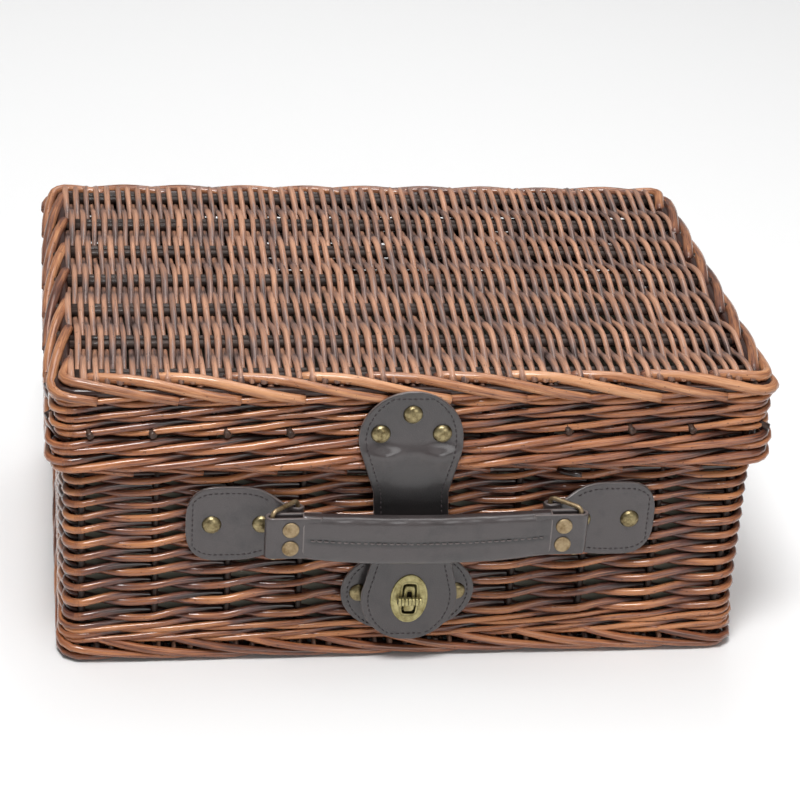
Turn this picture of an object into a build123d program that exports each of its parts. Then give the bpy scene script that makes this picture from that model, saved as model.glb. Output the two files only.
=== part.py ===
"""Wicker picnic basket: woven body and lid, leather carrying handle, leather hasp with a brass turn lock.

Millimetres. +Z is up, the front (handle and lock) faces -Y and +X is to the right as seen from the front.
The origin is the middle of the underside, on the surface that the basket stands on.
"""

from build123d import *
import math
import os

# ---------------------------------------------------------------- driving dimensions
LENGTH = 400.0  # over the lid's rim, along X
DEPTH = 280.0  # over the lid's rim, along Y
HEIGHT = 180.0  # floor to the top of the lid
SEAM = 122.0  # height at which the lid's rim rests on the body's rim
SEAM_GAP = 0.3  # between the two rims
OVERHANG = 7.0  # the lid's rim stands out past the body's wall

# wicker
WALL = 10.0  # woven wall: a stake with a weaver on either side of it
CORNER = 14.0  # outer corner radius of the body's wall
PANEL = 10.0  # woven base and lid panel
ROD = 2.2  # radius of the stakes and of the panel sticks
ROD_PLAY = 0.05  # between a rod and the weave that grips it
STICK_MARGIN = 6.0  # from the outer pairs of sticks to the panel's edge
STICK_PAIRS = 7
STAKES_ACROSS = 10  # in the front wall and in the back one, from corner to corner
STAKES_DEEP = 6  # in each side wall
BORDER_ROUND = 3.5  # the plaited borders' rounded edges
FOOT_TOP = 10.0
WALE_TOP = 24.0
BODY_BORDER = 10.0  # height of the body's top border
LID_RIM = 20.0  # height of the lid's lower border
LID_TOP_BORDER = 12.0
LINING = 1.2

# leather and rivets
LEATHER = 2.2
STRAP_X = 0.0  # middle of the hasp and the lock
HANDLE_X = 6.0  # middle of the handle, which is fixed a little to the right
HEAD_R = 5.2  # domed rivet head
HEAD_RISE = 3.0
SHANK_R = 1.5
HOLE_R = 1.6
BURR_R = 4.5  # washer that a rivet is closed over
BURR = 0.8

# hasp
HASP_HEAD_R = 28.5
HASP_HEAD_Z = 144.0
HASP_WAIST = 41.5  # width where the hasp passes behind the handle
HASP_BEND = 73.0  # height at which the hasp bends, just under the handle
TONGUE = 2.0  # thickness of the tongue
TONGUE_R = 27.0
HASP_RIVETS = [(STRAP_X, 159.3), (STRAP_X - 16.7, 147.6), (STRAP_X + 16.7, 147.6)]

# turn lock
LOCK_Z = 44.0
PLATE = 1.0
SLOT = (7.6, 19.0)
POST = (5.4, 14.0)
BAR = (13.6, 4.6)
BAR_DEPTH = 2.5
PIVOT_R = 1.4
PIVOT_PLAY = 0.05

# handle, its rings and its side tabs
HANDLE_Z = 90.0
GRIP = (137.0, 29.0, 8.4)
GRIP_DROP = 1.5  # the grip sags a little below its ends
END_REACH = 89.0  # from the handle's middle to its folded ends
END_HEIGHT = 25.0
WIRE_R = 1.3
WIRE_PLAY = 0.4
RING_IN = (70.0, 137.0)  # the wire in the side tab: from the handle's middle, and in front of the basket's
RING_OUT = (84.8, 150.0)  # the wire in the handle's fold
RING_HEIGHT = 29.2  # between the axes of the ring's upper and lower wires
RING_CORNER = 3.0
PULL_SLIDE = 4.8  # how far the wire slides along the fold as the handle is pulled out
TAB_REACH = 130.5
TAB_HEIGHT = 46.0
TAB_RIVETS = (89.0, 116.3)
END_RIVETS = 75.0

# hinges at the back
HINGE_X = 120.0
HINGE_WIDTH = 34.0
HINGE_AXIS = (141.1, 119.3)  # Y and Z of the bend in the hinge straps

# ---------------------------------------------------------------- derived sizes
LID_X, LID_Y = LENGTH / 2, DEPTH / 2
BODY_X, BODY_Y = LID_X - OVERHANG, LID_Y - OVERHANG
IN_X, IN_Y = BODY_X - WALL, BODY_Y - WALL
IN_R = CORNER - WALL
LID_WALL_X, LID_WALL_Y = LID_X - 3.0, LID_Y - 3.0
LID_IN_X, LID_IN_Y = LID_WALL_X - WALL, LID_WALL_Y - WALL
LID_IN_R = 7.0
LID_LOW = SEAM + SEAM_GAP
LID_WALL_LOW = LID_LOW + LID_RIM
LID_WALL_HIGH = HEIGHT - LID_TOP_BORDER

STRAP_BACK = LID_Y + 0.3  # the hasp hangs clear of the lid's rim
STRAP_FRONT = STRAP_BACK + LEATHER
TONGUE_FRONT = STRAP_BACK + TONGUE
TAB_FRONT = BODY_Y + LEATHER
BASE_FRONT = TAB_FRONT + 1.2
BAR_BACK = TONGUE_FRONT + PLATE + 0.4
HANDLE_Y = RING_OUT[1]
FOLD = WIRE_R + 0.45 + LEATHER  # half the thickness of the handle's fold
BARREL = WIRE_R + WIRE_PLAY + LEATHER  # outer radius of a side tab's fold

os.makedirs("parts", exist_ok=True)


def finish(builder, name):
    """Label a finished piece and write it."""
    builder.part.label = name
    export_step(builder.part, f"parts/{name}.step")


def woven_ring(half_x, half_y, inner_x, inner_y, inner_r, low, high):
    """A band of wicker that follows the basket's rounded outline."""
    outer_r = inner_r + half_x - inner_x
    with BuildSketch(Plane.XY.offset(low)) as outline:
        RectangleRounded(2 * half_x, 2 * half_y, outer_r)
        RectangleRounded(2 * inner_x, 2 * inner_y, inner_r, mode=Mode.SUBTRACT)
    extrude(outline.sketch, amount=high - low)


def panel(half_x, half_y, radius, low):
    """A woven panel, pierced by the pairs of sticks that it is woven on."""
    with BuildSketch(Plane.XY.offset(low)) as outline:
        RectangleRounded(2 * half_x, 2 * half_y, radius)
    extrude(outline.sketch, amount=PANEL)
    sticks(half_x, half_y, low, ROD + ROD_PLAY, Mode.SUBTRACT)


def sticks(half_x, half_y, low, radius, mode=Mode.ADD):
    """Pairs of straight sticks along X, in the middle of a panel's thickness."""
    for row in range(STICK_PAIRS):
        y = (2 * row / (STICK_PAIRS - 1) - 1) * (half_y - STICK_MARGIN)
        for side in (-1, 1):
            middle = (0, y + side * (ROD + 0.4), low + PANEL / 2)
            with Locations(middle):
                Cylinder(radius, 2 * (half_x - 3), rotation=(0, 90, 0), mode=mode)


def stake_places(half_x, half_y):
    """Where the upright stakes stand: evenly along each wall, in the middle of its thickness."""
    places = []
    for n in range(STAKES_ACROSS):
        x = (2 * n / (STAKES_ACROSS - 1) - 1) * (half_x - WALL)
        places += [(x, half_y - WALL / 2), (x, WALL / 2 - half_y)]
    for n in range(STAKES_DEEP):
        y = ((2 * n + 1) / STAKES_DEEP - 1) * (half_y - WALL)
        places += [(half_x - WALL / 2, y), (WALL / 2 - half_x, y)]
    return places


def stakes(places, radius, low, high, mode=Mode.ADD):
    """Upright stakes, or the passages for them."""
    with BuildSketch(Plane.XY.offset(low)) as outline:
        with Locations(*places):
            Circle(radius)
    extrude(outline.sketch, amount=high - low, mode=mode)


def front_holes(places, radius, front, back):
    """Round holes along Y, between two distances in front of the basket's middle."""
    with BuildSketch(Plane.XZ.offset(back)) as outline:
        with Locations(*places):
            Circle(radius)
    extrude(outline.sketch, amount=front - back, mode=Mode.SUBTRACT)


def rivets(builder, places, face, plane_at, length, rise=HEAD_RISE):
    """Rivets with domed heads on a face and shanks that run inwards from it."""
    with BuildSketch(plane_at(face)) as outline:
        with Locations(*places):
            Circle(HEAD_R)
    extrude(outline.sketch, amount=rise)
    rims = builder.edges().filter_by(GeomType.CIRCLE).filter_by(
        lambda edge: abs(abs(edge.center().Y) - face - rise) < 0.01
    )
    fillet(rims, rise * 0.9)
    with BuildSketch(plane_at(face)) as outline:
        with Locations(*places):
            Circle(SHANK_R)
    extrude(outline.sketch, amount=-length)


def burrs(places, face, plane_at):
    """Washers inside the wall, one on each rivet."""
    with BuildSketch(plane_at(face)) as outline:
        with Locations(*places):
            Circle(BURR_R)
            Circle(HOLE_R, mode=Mode.SUBTRACT)
    extrude(outline.sketch, amount=-BURR)


def front_plane(distance):
    """Facing -Y, a distance in front of the basket's middle; local x is +X and local y is +Z."""
    return Plane.XZ.offset(distance)


def back_plane(distance):
    """Facing +Y, a distance behind the basket's middle; local x is -X and local y is +Z."""
    return Plane(origin=(0, distance, 0), x_dir=(-1, 0, 0), z_dir=(0, 1, 0))


TAB_HOLES = [(HANDLE_X + side * reach, HANDLE_Z - 1.0) for side in (-1, 1) for reach in TAB_RIVETS]
LENS_HOLES = [(STRAP_X - 27.5, LOCK_Z), (STRAP_X + 27.5, LOCK_Z)]
BODY_HINGE_HOLES = [(side * HINGE_X, z) for side in (-1, 1) for z in (85.0, 100.0)]
LID_HINGE_HOLES = [(side * HINGE_X, z) for side in (-1, 1) for z in (146.0, 158.0)]
END_HOLES = [(HANDLE_X + side * END_RIVETS, HANDLE_Z + rise) for side in (-1, 1) for rise in (-5.7, 5.7)]
BODY_STAKES = stake_places(BODY_X, BODY_Y)
LID_STAKES = stake_places(LID_WALL_X, LID_WALL_Y)

# ---------------------------------------------------------------- body: wicker
with BuildPart() as base_weave:
    panel(IN_X - 0.1, IN_Y - 0.1, IN_R, 0)
finish(base_weave, "base_weave")

with BuildPart() as base_sticks:
    sticks(IN_X - 0.1, IN_Y - 0.1, 0, ROD)
finish(base_sticks, "base_sticks")

with BuildPart() as foot_border:
    woven_ring(BODY_X + 2, BODY_Y + 2, IN_X, IN_Y, IN_R, 0, FOOT_TOP)
    foot_rim = foot_border.faces().sort_by(Axis.Z)[0].outer_wire().edges()
    fillet(foot_rim, BORDER_ROUND)
finish(foot_border, "foot_border")

with BuildPart() as bottom_wale:
    woven_ring(BODY_X, BODY_Y, IN_X, IN_Y, IN_R, FOOT_TOP, WALE_TOP)
finish(bottom_wale, "bottom_wale")

with BuildPart() as body_weave:
    woven_ring(BODY_X, BODY_Y, IN_X, IN_Y, IN_R, WALE_TOP, SEAM - BODY_BORDER)
    stakes(BODY_STAKES, ROD + ROD_PLAY, WALE_TOP, SEAM - BODY_BORDER, Mode.SUBTRACT)
    front_holes(TAB_HOLES + LENS_HOLES, HOLE_R, BODY_Y, IN_Y)
    front_holes(BODY_HINGE_HOLES, HOLE_R, -IN_Y, -BODY_Y)
finish(body_weave, "body_weave")

with BuildPart() as body_stakes:
    stakes(BODY_STAKES, ROD, WALE_TOP, SEAM - BODY_BORDER)
finish(body_stakes, "body_stakes")

with BuildPart() as body_border:
    woven_ring(BODY_X + 1, BODY_Y + 1, IN_X, IN_Y, IN_R, SEAM - BODY_BORDER, SEAM)
    rim_edges = body_border.faces().sort_by(Axis.Z)[-1].outer_wire().edges()
    fillet(rim_edges, BORDER_ROUND)
finish(body_border, "body_border")

with BuildPart() as body_lining:
    with BuildSketch(Plane.XY.offset(PANEL)):
        RectangleRounded(2 * IN_X - 0.4, 2 * IN_Y - 0.4, IN_R)
    extrude(amount=SEAM - 3 - PANEL)
    offset(amount=-LINING, openings=body_lining.faces().sort_by(Axis.Z)[-1])
    front_holes(TAB_HOLES + LENS_HOLES, HOLE_R, BODY_Y, IN_Y - 3)
    front_holes(BODY_HINGE_HOLES, HOLE_R, 3 - IN_Y, -BODY_Y)
finish(body_lining, "body_lining")

# ---------------------------------------------------------------- lid: wicker
with BuildPart() as lid_rim_border:
    woven_ring(LID_X, LID_Y, LID_IN_X, LID_IN_Y, LID_IN_R, LID_LOW, LID_WALL_LOW)
    for end in (0, -1):
        fillet(lid_rim_border.faces().sort_by(Axis.Z)[end].outer_wire().edges(), BORDER_ROUND)
finish(lid_rim_border, "lid_rim_border")

with BuildPart() as lid_wall_weave:
    woven_ring(LID_WALL_X, LID_WALL_Y, LID_IN_X, LID_IN_Y, LID_IN_R, LID_WALL_LOW, LID_WALL_HIGH)
    stakes(LID_STAKES, ROD + ROD_PLAY, LID_WALL_LOW, LID_WALL_HIGH, Mode.SUBTRACT)
    front_holes(HASP_RIVETS, HOLE_R, LID_Y, LID_IN_Y)
    front_holes(LID_HINGE_HOLES, HOLE_R, -LID_IN_Y, -LID_Y)
finish(lid_wall_weave, "lid_wall_weave")

with BuildPart() as lid_stakes:
    stakes(LID_STAKES, ROD, LID_WALL_LOW, LID_WALL_HIGH)
finish(lid_stakes, "lid_stakes")

with BuildPart() as lid_top_border:
    woven_ring(LID_X - 2, LID_Y - 2, LID_IN_X, LID_IN_Y, LID_IN_R, LID_WALL_HIGH, HEIGHT)
    top_rim = lid_top_border.faces().sort_by(Axis.Z)[-1].outer_wire().edges()
    fillet(top_rim, BORDER_ROUND)
finish(lid_top_border, "lid_top_border")

with BuildPart() as lid_top_weave:
    panel(LID_IN_X - 0.1, LID_IN_Y - 0.1, LID_IN_R, LID_WALL_HIGH)
finish(lid_top_weave, "lid_top_weave")

with BuildPart() as lid_sticks:
    sticks(LID_IN_X - 0.1, LID_IN_Y - 0.1, LID_WALL_HIGH, ROD)
finish(lid_sticks, "lid_sticks")

# ---------------------------------------------------------------- hinges: leather straps at the back
with BuildPart() as body_hinge_rivets:
    rivets(body_hinge_rivets, BODY_HINGE_HOLES, BODY_Y + LEATHER, back_plane, WALL + LEATHER + 2.2)
finish(body_hinge_rivets, "body_hinge_rivets")

with BuildPart() as body_hinge_washers:
    burrs(BODY_HINGE_HOLES, IN_Y - 0.2 - LINING, back_plane)
finish(body_hinge_washers, "body_hinge_washers")

with BuildPart() as lid_hinge_rivets:
    rivets(lid_hinge_rivets, LID_HINGE_HOLES, LID_Y + LEATHER, back_plane, WALL + LEATHER + 3.8)
finish(lid_hinge_rivets, "lid_hinge_rivets")

with BuildPart() as lid_hinge_washers:
    burrs(LID_HINGE_HOLES, LID_IN_Y, back_plane)
finish(lid_hinge_washers, "lid_hinge_washers")

for side, name in ((-1, "left"), (1, "right")):
    # the half of the strap that is riveted to the body: up the wall, out over its border, and a round end
    axis_y, axis_z = HINGE_AXIS
    with BuildPart() as body_leaf:
        with BuildSketch(Plane.YZ.offset(side * HINGE_X - HINGE_WIDTH / 2)):
            with BuildLine():
                Polyline(
                    (BODY_Y, 76),
                    (BODY_Y + LEATHER, 76),
                    (BODY_Y + LEATHER, 107),
                    (axis_y + LEATHER / 2, 113),
                    (axis_y + LEATHER / 2, axis_z),
                    (axis_y - LEATHER / 2, axis_z),
                    (axis_y - LEATHER / 2, 114.5),
                    (BODY_Y, 108.5),
                    close=True,
                )
            make_face()
            with Locations((axis_y, axis_z)):
                Circle(LEATHER / 2)
        extrude(amount=HINGE_WIDTH)
        with BuildSketch(back_plane(BODY_Y)):
            with Locations(*[(-x, z) for x, z in BODY_HINGE_HOLES]):
                Circle(HOLE_R)
        extrude(amount=LEATHER, mode=Mode.SUBTRACT)
    finish(body_leaf, f"body_hinge_leaf_{name}")

    # the half that is riveted to the lid
    with BuildPart() as lid_leaf:
        with BuildSketch(back_plane(LID_Y)):
            with Locations((-side * HINGE_X, (axis_z + 1.9 + 166) / 2)):
                Rectangle(HINGE_WIDTH, 166 - axis_z - 1.9)
            with Locations(*[(-x, z) for x, z in LID_HINGE_HOLES]):
                Circle(HOLE_R, mode=Mode.SUBTRACT)
        extrude(amount=LEATHER)
        fillet(lid_leaf.edges().filter_by(Axis.Y).group_by(Axis.Z)[-1], 8)
    finish(lid_leaf, f"lid_hinge_leaf_{name}")

# ---------------------------------------------------------------- hasp
with BuildPart() as hasp_strap:
    with BuildSketch(front_plane(STRAP_BACK)):
        with Locations((STRAP_X, HASP_HEAD_Z)):
            Circle(HASP_HEAD_R)
        with Locations((STRAP_X, 108)):
            Rectangle(HASP_WAIST, 4)
        make_hull()
        with Locations((STRAP_X, (HASP_BEND + 108) / 2)):
            Rectangle(HASP_WAIST, 108 - HASP_BEND)
        with Locations(*HASP_RIVETS):
            Circle(HOLE_R, mode=Mode.SUBTRACT)
    extrude(amount=LEATHER)
finish(hasp_strap, "hasp_strap")

with BuildPart() as hasp_rivets:
    rivets(hasp_rivets, HASP_RIVETS, STRAP_FRONT, front_plane, STRAP_FRONT - LID_IN_Y + 1.2)
finish(hasp_rivets, "hasp_rivets")

with BuildPart() as hasp_washers:
    burrs(HASP_RIVETS, LID_IN_Y, front_plane)
finish(hasp_washers, "hasp_washers")

with BuildPart() as hasp_tongue:
    with BuildSketch(front_plane(STRAP_BACK)):
        with Locations((STRAP_X, LOCK_Z)):
            Circle(TONGUE_R)
        with Locations((STRAP_X, HASP_BEND - 1)):
            Rectangle(HASP_WAIST + 2, 2)
        make_hull()
        with Locations((STRAP_X, LOCK_Z)):
            Rectangle(SLOT[0] + 1.6, SLOT[1] + 1.6, mode=Mode.SUBTRACT)
    extrude(amount=TONGUE)
finish(hasp_tongue, "hasp_tongue")

with BuildPart() as lock_eyelet:
    with BuildSketch(front_plane(TONGUE_FRONT)):
        with Locations((STRAP_X, LOCK_Z)):
            Ellipse(10.5, 15.5)
    extrude(amount=PLATE)
    with BuildSketch(front_plane(STRAP_BACK)):
        with Locations((STRAP_X, LOCK_Z)):
            Rectangle(SLOT[0] + 1.4, SLOT[1] + 1.4)
    extrude(amount=TONGUE)
    with BuildSketch(front_plane(STRAP_BACK)):
        with Locations((STRAP_X, LOCK_Z)):
            Rectangle(*SLOT)
    extrude(amount=TONGUE + PLATE, mode=Mode.SUBTRACT)
finish(lock_eyelet, "lock_eyelet")

with BuildPart() as lock_eyelet_back:
    with BuildSketch(front_plane(STRAP_BACK - 0.6)):
        with Locations((STRAP_X, LOCK_Z)):
            Ellipse(9.5, 14)
            Rectangle(*SLOT, mode=Mode.SUBTRACT)
    extrude(amount=0.6)
finish(lock_eyelet_back, "lock_eyelet_back")

# ---------------------------------------------------------------- turn lock on the body
with BuildPart() as lock_tab:
    with BuildSketch(front_plane(BODY_Y)):
        with Locations((STRAP_X, LOCK_Z)):
            Ellipse(37.5, 27)
        with Locations(*LENS_HOLES):
            Circle(HOLE_R, mode=Mode.SUBTRACT)
    extrude(amount=LEATHER)
finish(lock_tab, "lock_tab")

with BuildPart() as lock_tab_rivets:
    rivets(lock_tab_rivets, LENS_HOLES, TAB_FRONT, front_plane, WALL + LEATHER + 2.2)
finish(lock_tab_rivets, "lock_tab_rivets")

with BuildPart() as lock_tab_washers:
    burrs(LENS_HOLES, IN_Y - 0.2 - LINING, front_plane)
finish(lock_tab_washers, "lock_tab_washers")

with BuildPart() as lock_base_plate:
    with BuildSketch(front_plane(TAB_FRONT)):
        with Locations((STRAP_X, LOCK_Z)):
            Ellipse(9.5, 14)
    extrude(amount=BASE_FRONT - TAB_FRONT)
finish(lock_base_plate, "lock_base_plate")

with BuildPart() as lock_post:
    with BuildSketch(front_plane(BASE_FRONT)):
        with Locations((STRAP_X, LOCK_Z)):
            RectangleRounded(*POST, 0.8)
    extrude(amount=BAR_BACK - 0.1 - BASE_FRONT)
    with BuildSketch(front_plane(BAR_BACK - 5)):
        with Locations((STRAP_X, LOCK_Z)):
            Circle(PIVOT_R + PIVOT_PLAY)
    extrude(amount=5, mode=Mode.SUBTRACT)
finish(lock_post, "lock_post")

with BuildPart() as turn_bar:
    with BuildSketch(front_plane(BAR_BACK)):
        with Locations((STRAP_X, LOCK_Z)):
            RectangleRounded(*BAR, 1.2)
    extrude(amount=BAR_DEPTH)
    bar_front = turn_bar.faces().sort_by(Axis.Y)[0]
    fillet(bar_front.edges(), 0.6)
    with BuildSketch(front_plane(BAR_BACK - 4.8)):
        with Locations((STRAP_X, LOCK_Z)):
            Circle(PIVOT_R)
    extrude(amount=4.8)
finish(turn_bar, "turn_bar")

# ---------------------------------------------------------------- handle
with BuildPart() as handle_strap:
    # one strap through the whole handle, folded back around a ring at each end
    with BuildSketch(Plane.XY.offset(HANDLE_Z - END_HEIGHT / 2)):
        with Locations((HANDLE_X, -HANDLE_Y)):
            Rectangle(GRIP[0], 2 * LEATHER)
            for side in (-1, 1):
                inner, outer = GRIP[0] / 2, END_REACH
                with Locations((side * (inner + outer) / 2, 0)):
                    RectangleRounded(outer - inner, 2 * FOLD, FOLD * 0.95)
                with Locations((side * (inner + 4), 0)):
                    Rectangle(8, 2 * FOLD)
                with Locations((side * (RING_OUT[0] - PULL_SLIDE / 2), 0)):
                    SlotCenterToCenter(PULL_SLIDE + 0.2, 2 * WIRE_R + 0.9, mode=Mode.SUBTRACT)
    extrude(amount=END_HEIGHT)
    front_holes(END_HOLES, HOLE_R, HANDLE_Y + FOLD, HANDLE_Y - FOLD)
finish(handle_strap, "handle_strap")

with BuildPart() as handle_rivets:
    # flat caps in front, with a closing cap on each shank behind
    for face, amount in ((HANDLE_Y + FOLD, 1.2), (HANDLE_Y - FOLD, -0.8)):
        with BuildSketch(front_plane(face)):
            with Locations(*END_HOLES):
                Circle(BURR_R)
        extrude(amount=amount)
    with BuildSketch(front_plane(HANDLE_Y - FOLD)):
        with Locations(*END_HOLES):
            Circle(SHANK_R)
    extrude(amount=2 * FOLD)
finish(handle_rivets, "handle_rivets")

with BuildPart() as handle_grip:
    # padded leather sleeve, sewn along its middle, around the strap and the padding
    grip_plane = Plane(
        origin=(HANDLE_X - GRIP[0] / 2, -HANDLE_Y, HANDLE_Z - GRIP_DROP), x_dir=(0, 1, 0), z_dir=(1, 0, 0)
    )
    with BuildSketch(grip_plane):
        RectangleRounded(GRIP[2], GRIP[1], 3.9)
        with Locations((0, GRIP_DROP)):
            Rectangle(2 * LEATHER, END_HEIGHT, mode=Mode.SUBTRACT)
        with Locations((-LEATHER - 0.5, 0)):
            Rectangle(1, 20, mode=Mode.SUBTRACT)
    extrude(amount=GRIP[0])
finish(handle_grip, "handle_grip")

with BuildPart() as handle_padding:
    with BuildSketch(grip_plane):
        with Locations((-LEATHER - 0.5, 0)):
            Rectangle(1, 20)
    extrude(amount=GRIP[0])
finish(handle_padding, "handle_padding")

swing = math.atan2(RING_OUT[1] - RING_IN[1], RING_OUT[0] - RING_IN[0])
ring_reach = math.hypot(RING_OUT[1] - RING_IN[1], RING_OUT[0] - RING_IN[0])

for side, name in ((-1, "left"), (1, "right")):
    # the wire loop from the side tab's fold, outwards and forwards to the handle's fold
    along = Vector(side * math.cos(swing), -math.sin(swing), 0)
    inner_wire = Vector(HANDLE_X + side * RING_IN[0], -RING_IN[1], HANDLE_Z)
    ring_plane = Plane(
        origin=inner_wire + along * (ring_reach / 2), x_dir=along, z_dir=along.cross(Vector(0, 0, 1))
    )
    with BuildPart() as ring:
        with BuildLine(ring_plane) as half:
            FilletPolyline(
                (0, RING_HEIGHT / 2),
                (ring_reach / 2, RING_HEIGHT / 2),
                (ring_reach / 2, -RING_HEIGHT / 2),
                (0, -RING_HEIGHT / 2),
                radius=RING_CORNER,
            )
        with BuildSketch(Plane(origin=half.line @ 0, z_dir=half.line % 0)):
            Circle(WIRE_R)
        sweep()
        mirror(about=Plane(origin=ring_plane.origin, z_dir=along))
    finish(ring, f"ring_{name}")

    # the leather tab: a rounded plate on the wall, thickening to a fold around the ring's inner wire
    barrel = (HANDLE_X + side * RING_IN[0], -RING_IN[1])
    plate_end = HANDLE_X + side * (TAB_REACH - TAB_HEIGHT / 2)
    with BuildPart() as tab:
        with BuildSketch(front_plane(BODY_Y)):
            with Locations((plate_end, HANDLE_Z - 1)):
                Circle(TAB_HEIGHT / 2)
            with Locations((HANDLE_X + side * 88, HANDLE_Z - 1)):
                Circle(TAB_HEIGHT / 2 - 2)
            with Locations((HANDLE_X + side * (RING_IN[0] + 1), HANDLE_Z)):
                Rectangle(2, END_HEIGHT)
            make_hull()
        extrude(amount=LEATHER)
        with BuildSketch(Plane.XY.offset(HANDLE_Z - END_HEIGHT / 2)):
            with Locations(barrel):
                Circle(BARREL)
            with Locations((HANDLE_X + side * 81, -BODY_Y - LEATHER / 2)):
                Rectangle(2, LEATHER)
            make_hull()
        extrude(amount=END_HEIGHT)
        with BuildSketch(Plane.XY.offset(HANDLE_Z - TAB_HEIGHT / 2)):
            with Locations(barrel):
                Circle(WIRE_R + WIRE_PLAY)
        extrude(amount=TAB_HEIGHT, mode=Mode.SUBTRACT)
        front_holes(TAB_HOLES, HOLE_R, TAB_FRONT + 6, BODY_Y)
    finish(tab, f"tab_{name}")

with BuildPart() as tab_rivets:
    rivets(tab_rivets, TAB_HOLES, TAB_FRONT, front_plane, WALL + LEATHER + 2.2)
finish(tab_rivets, "tab_rivets")

with BuildPart() as tab_washers:
    burrs(TAB_HOLES, IN_Y - 0.2 - LINING, front_plane)
finish(tab_washers, "tab_washers")
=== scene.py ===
"""Wicker picnic basket: real rods woven on stakes, sewn leather straps and brass fittings.

Lengths in the helpers are millimetres; `build` turns them into metres. Walls are woven anticlockwise seen from
above, so that every wall shows its rods running to the right.
"""

import math
import random

import bmesh
import bpy
import numpy as np
from mathutils import Matrix, Vector


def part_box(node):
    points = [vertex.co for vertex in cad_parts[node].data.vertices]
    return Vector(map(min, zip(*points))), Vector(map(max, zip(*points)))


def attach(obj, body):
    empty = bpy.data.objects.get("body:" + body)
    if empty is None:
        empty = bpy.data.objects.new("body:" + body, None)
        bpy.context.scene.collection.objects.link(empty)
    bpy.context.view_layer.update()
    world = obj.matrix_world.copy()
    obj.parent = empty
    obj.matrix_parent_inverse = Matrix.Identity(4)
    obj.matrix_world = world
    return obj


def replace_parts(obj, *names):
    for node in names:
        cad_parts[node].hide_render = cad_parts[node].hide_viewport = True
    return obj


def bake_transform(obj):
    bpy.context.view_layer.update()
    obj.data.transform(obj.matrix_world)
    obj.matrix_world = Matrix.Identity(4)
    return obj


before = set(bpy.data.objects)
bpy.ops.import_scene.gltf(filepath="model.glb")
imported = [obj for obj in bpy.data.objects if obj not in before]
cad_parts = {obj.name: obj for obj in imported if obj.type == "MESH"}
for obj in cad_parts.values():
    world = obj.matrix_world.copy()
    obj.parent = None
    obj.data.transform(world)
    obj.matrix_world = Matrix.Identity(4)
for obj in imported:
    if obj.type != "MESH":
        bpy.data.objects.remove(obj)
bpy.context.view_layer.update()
random.seed(7)

MM = 0.001
UP = np.array([0.0, 0.0, 1.0])


def box(*nodes):
    """Lowest and highest corner of some CAD nodes, in millimetres."""
    corners = [np.array(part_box(node)) / MM for node in nodes]
    return np.min([low for low, high in corners], axis=0), np.max([high for low, high in corners], axis=0)


def middle(*nodes):
    low, high = box(*nodes)
    return (low + high) / 2


# ---------------------------------------------------------------- sizes read from the frame
WALL_OUT = box("body_weave")[1]
LID_OUT = box("lid_wall_weave")[1]
RIM_OUT = box("lid_rim_border")[1]
LINING_LOW, LINING_HIGH = box("body_lining")
WALL = WALL_OUT[0] - LINING_HIGH[0] - 0.2  # thickness of a woven wall
STAKE_R = 1.9
CORNER_R = 8.0  # of the middle line of a wall
SEAM = box("body_border")[1][2]
TOP = box("lid_top_border")[1][2]
LEATHER = 2.2
STRAP_FACE = -box("hasp_strap")[0][1]
TAB_FACE = WALL_OUT[1] + LEATHER
LOCK = middle("lock_eyelet")
HANDLE = middle("handle_strap")


# ---------------------------------------------------------------- mesh helpers
def build(name, points, faces, material, body, marks=None, outwards=False):
    """A mesh object from points in millimetres, riding on a body; marks are vectors stored on its points."""
    mesh = bpy.data.meshes.new(name)
    mesh.from_pydata((np.asarray(points) * MM).tolist(), [], faces)
    for key, values in (marks or {}).items():
        layer = mesh.attributes.new(key, "FLOAT_VECTOR", "POINT")
        layer.data.foreach_set("vector", np.asarray(values, np.float32).ravel())
    if outwards:
        turned_out = bmesh.new()
        turned_out.from_mesh(mesh)
        bmesh.ops.recalc_face_normals(turned_out, faces=turned_out.faces)
        turned_out.to_mesh(mesh)
        turned_out.free()
    mesh.polygons.foreach_set("use_smooth", [len(polygon.vertices) < 5 for polygon in mesh.polygons])
    mesh.materials.append(material)
    piece = bpy.data.objects.new(name, mesh)
    bpy.context.scene.collection.objects.link(piece)
    if body:
        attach(piece, body)
    return piece


def quads(count, n, closed=False):
    """Faces between count rings of n points each; closed joins the last ring to the first."""
    return [[i * n + k, i * n + (k + 1) % n, (i + 1) % count * n + (k + 1) % n, (i + 1) % count * n + k]
            for i in range(count if closed else count - 1) for k in range(n)]


def darkened(shade):
    """Marks for the hide and brass materials that only say how much painted shade each point has."""
    return {"hide": np.array([[dark, 0, 0] for dark in shade])}


def unit(vectors):
    return vectors / np.maximum(np.linalg.norm(vectors, axis=-1, keepdims=True), 1e-9)


def curve(keys, steps):
    """A smooth line through key rows (Catmull-Rom), with steps points to each span."""
    keys = np.asarray(keys, float)
    ends = np.vstack([2 * keys[0] - keys[1], keys, 2 * keys[-1] - keys[-2]])
    t = np.linspace(0, 1, steps, endpoint=False)[:, None]
    parts = []
    for a, b, c, d in zip(ends, ends[1:], ends[2:], ends[3:]):
        square, cube = 2 * a - 5 * b + 4 * c - d, 3 * b - a - 3 * c + d
        parts.append(0.5 * (2 * b + (c - a) * t + square * t**2 + cube * t**3))
    return np.vstack(parts + [keys[-1:]])


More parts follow.
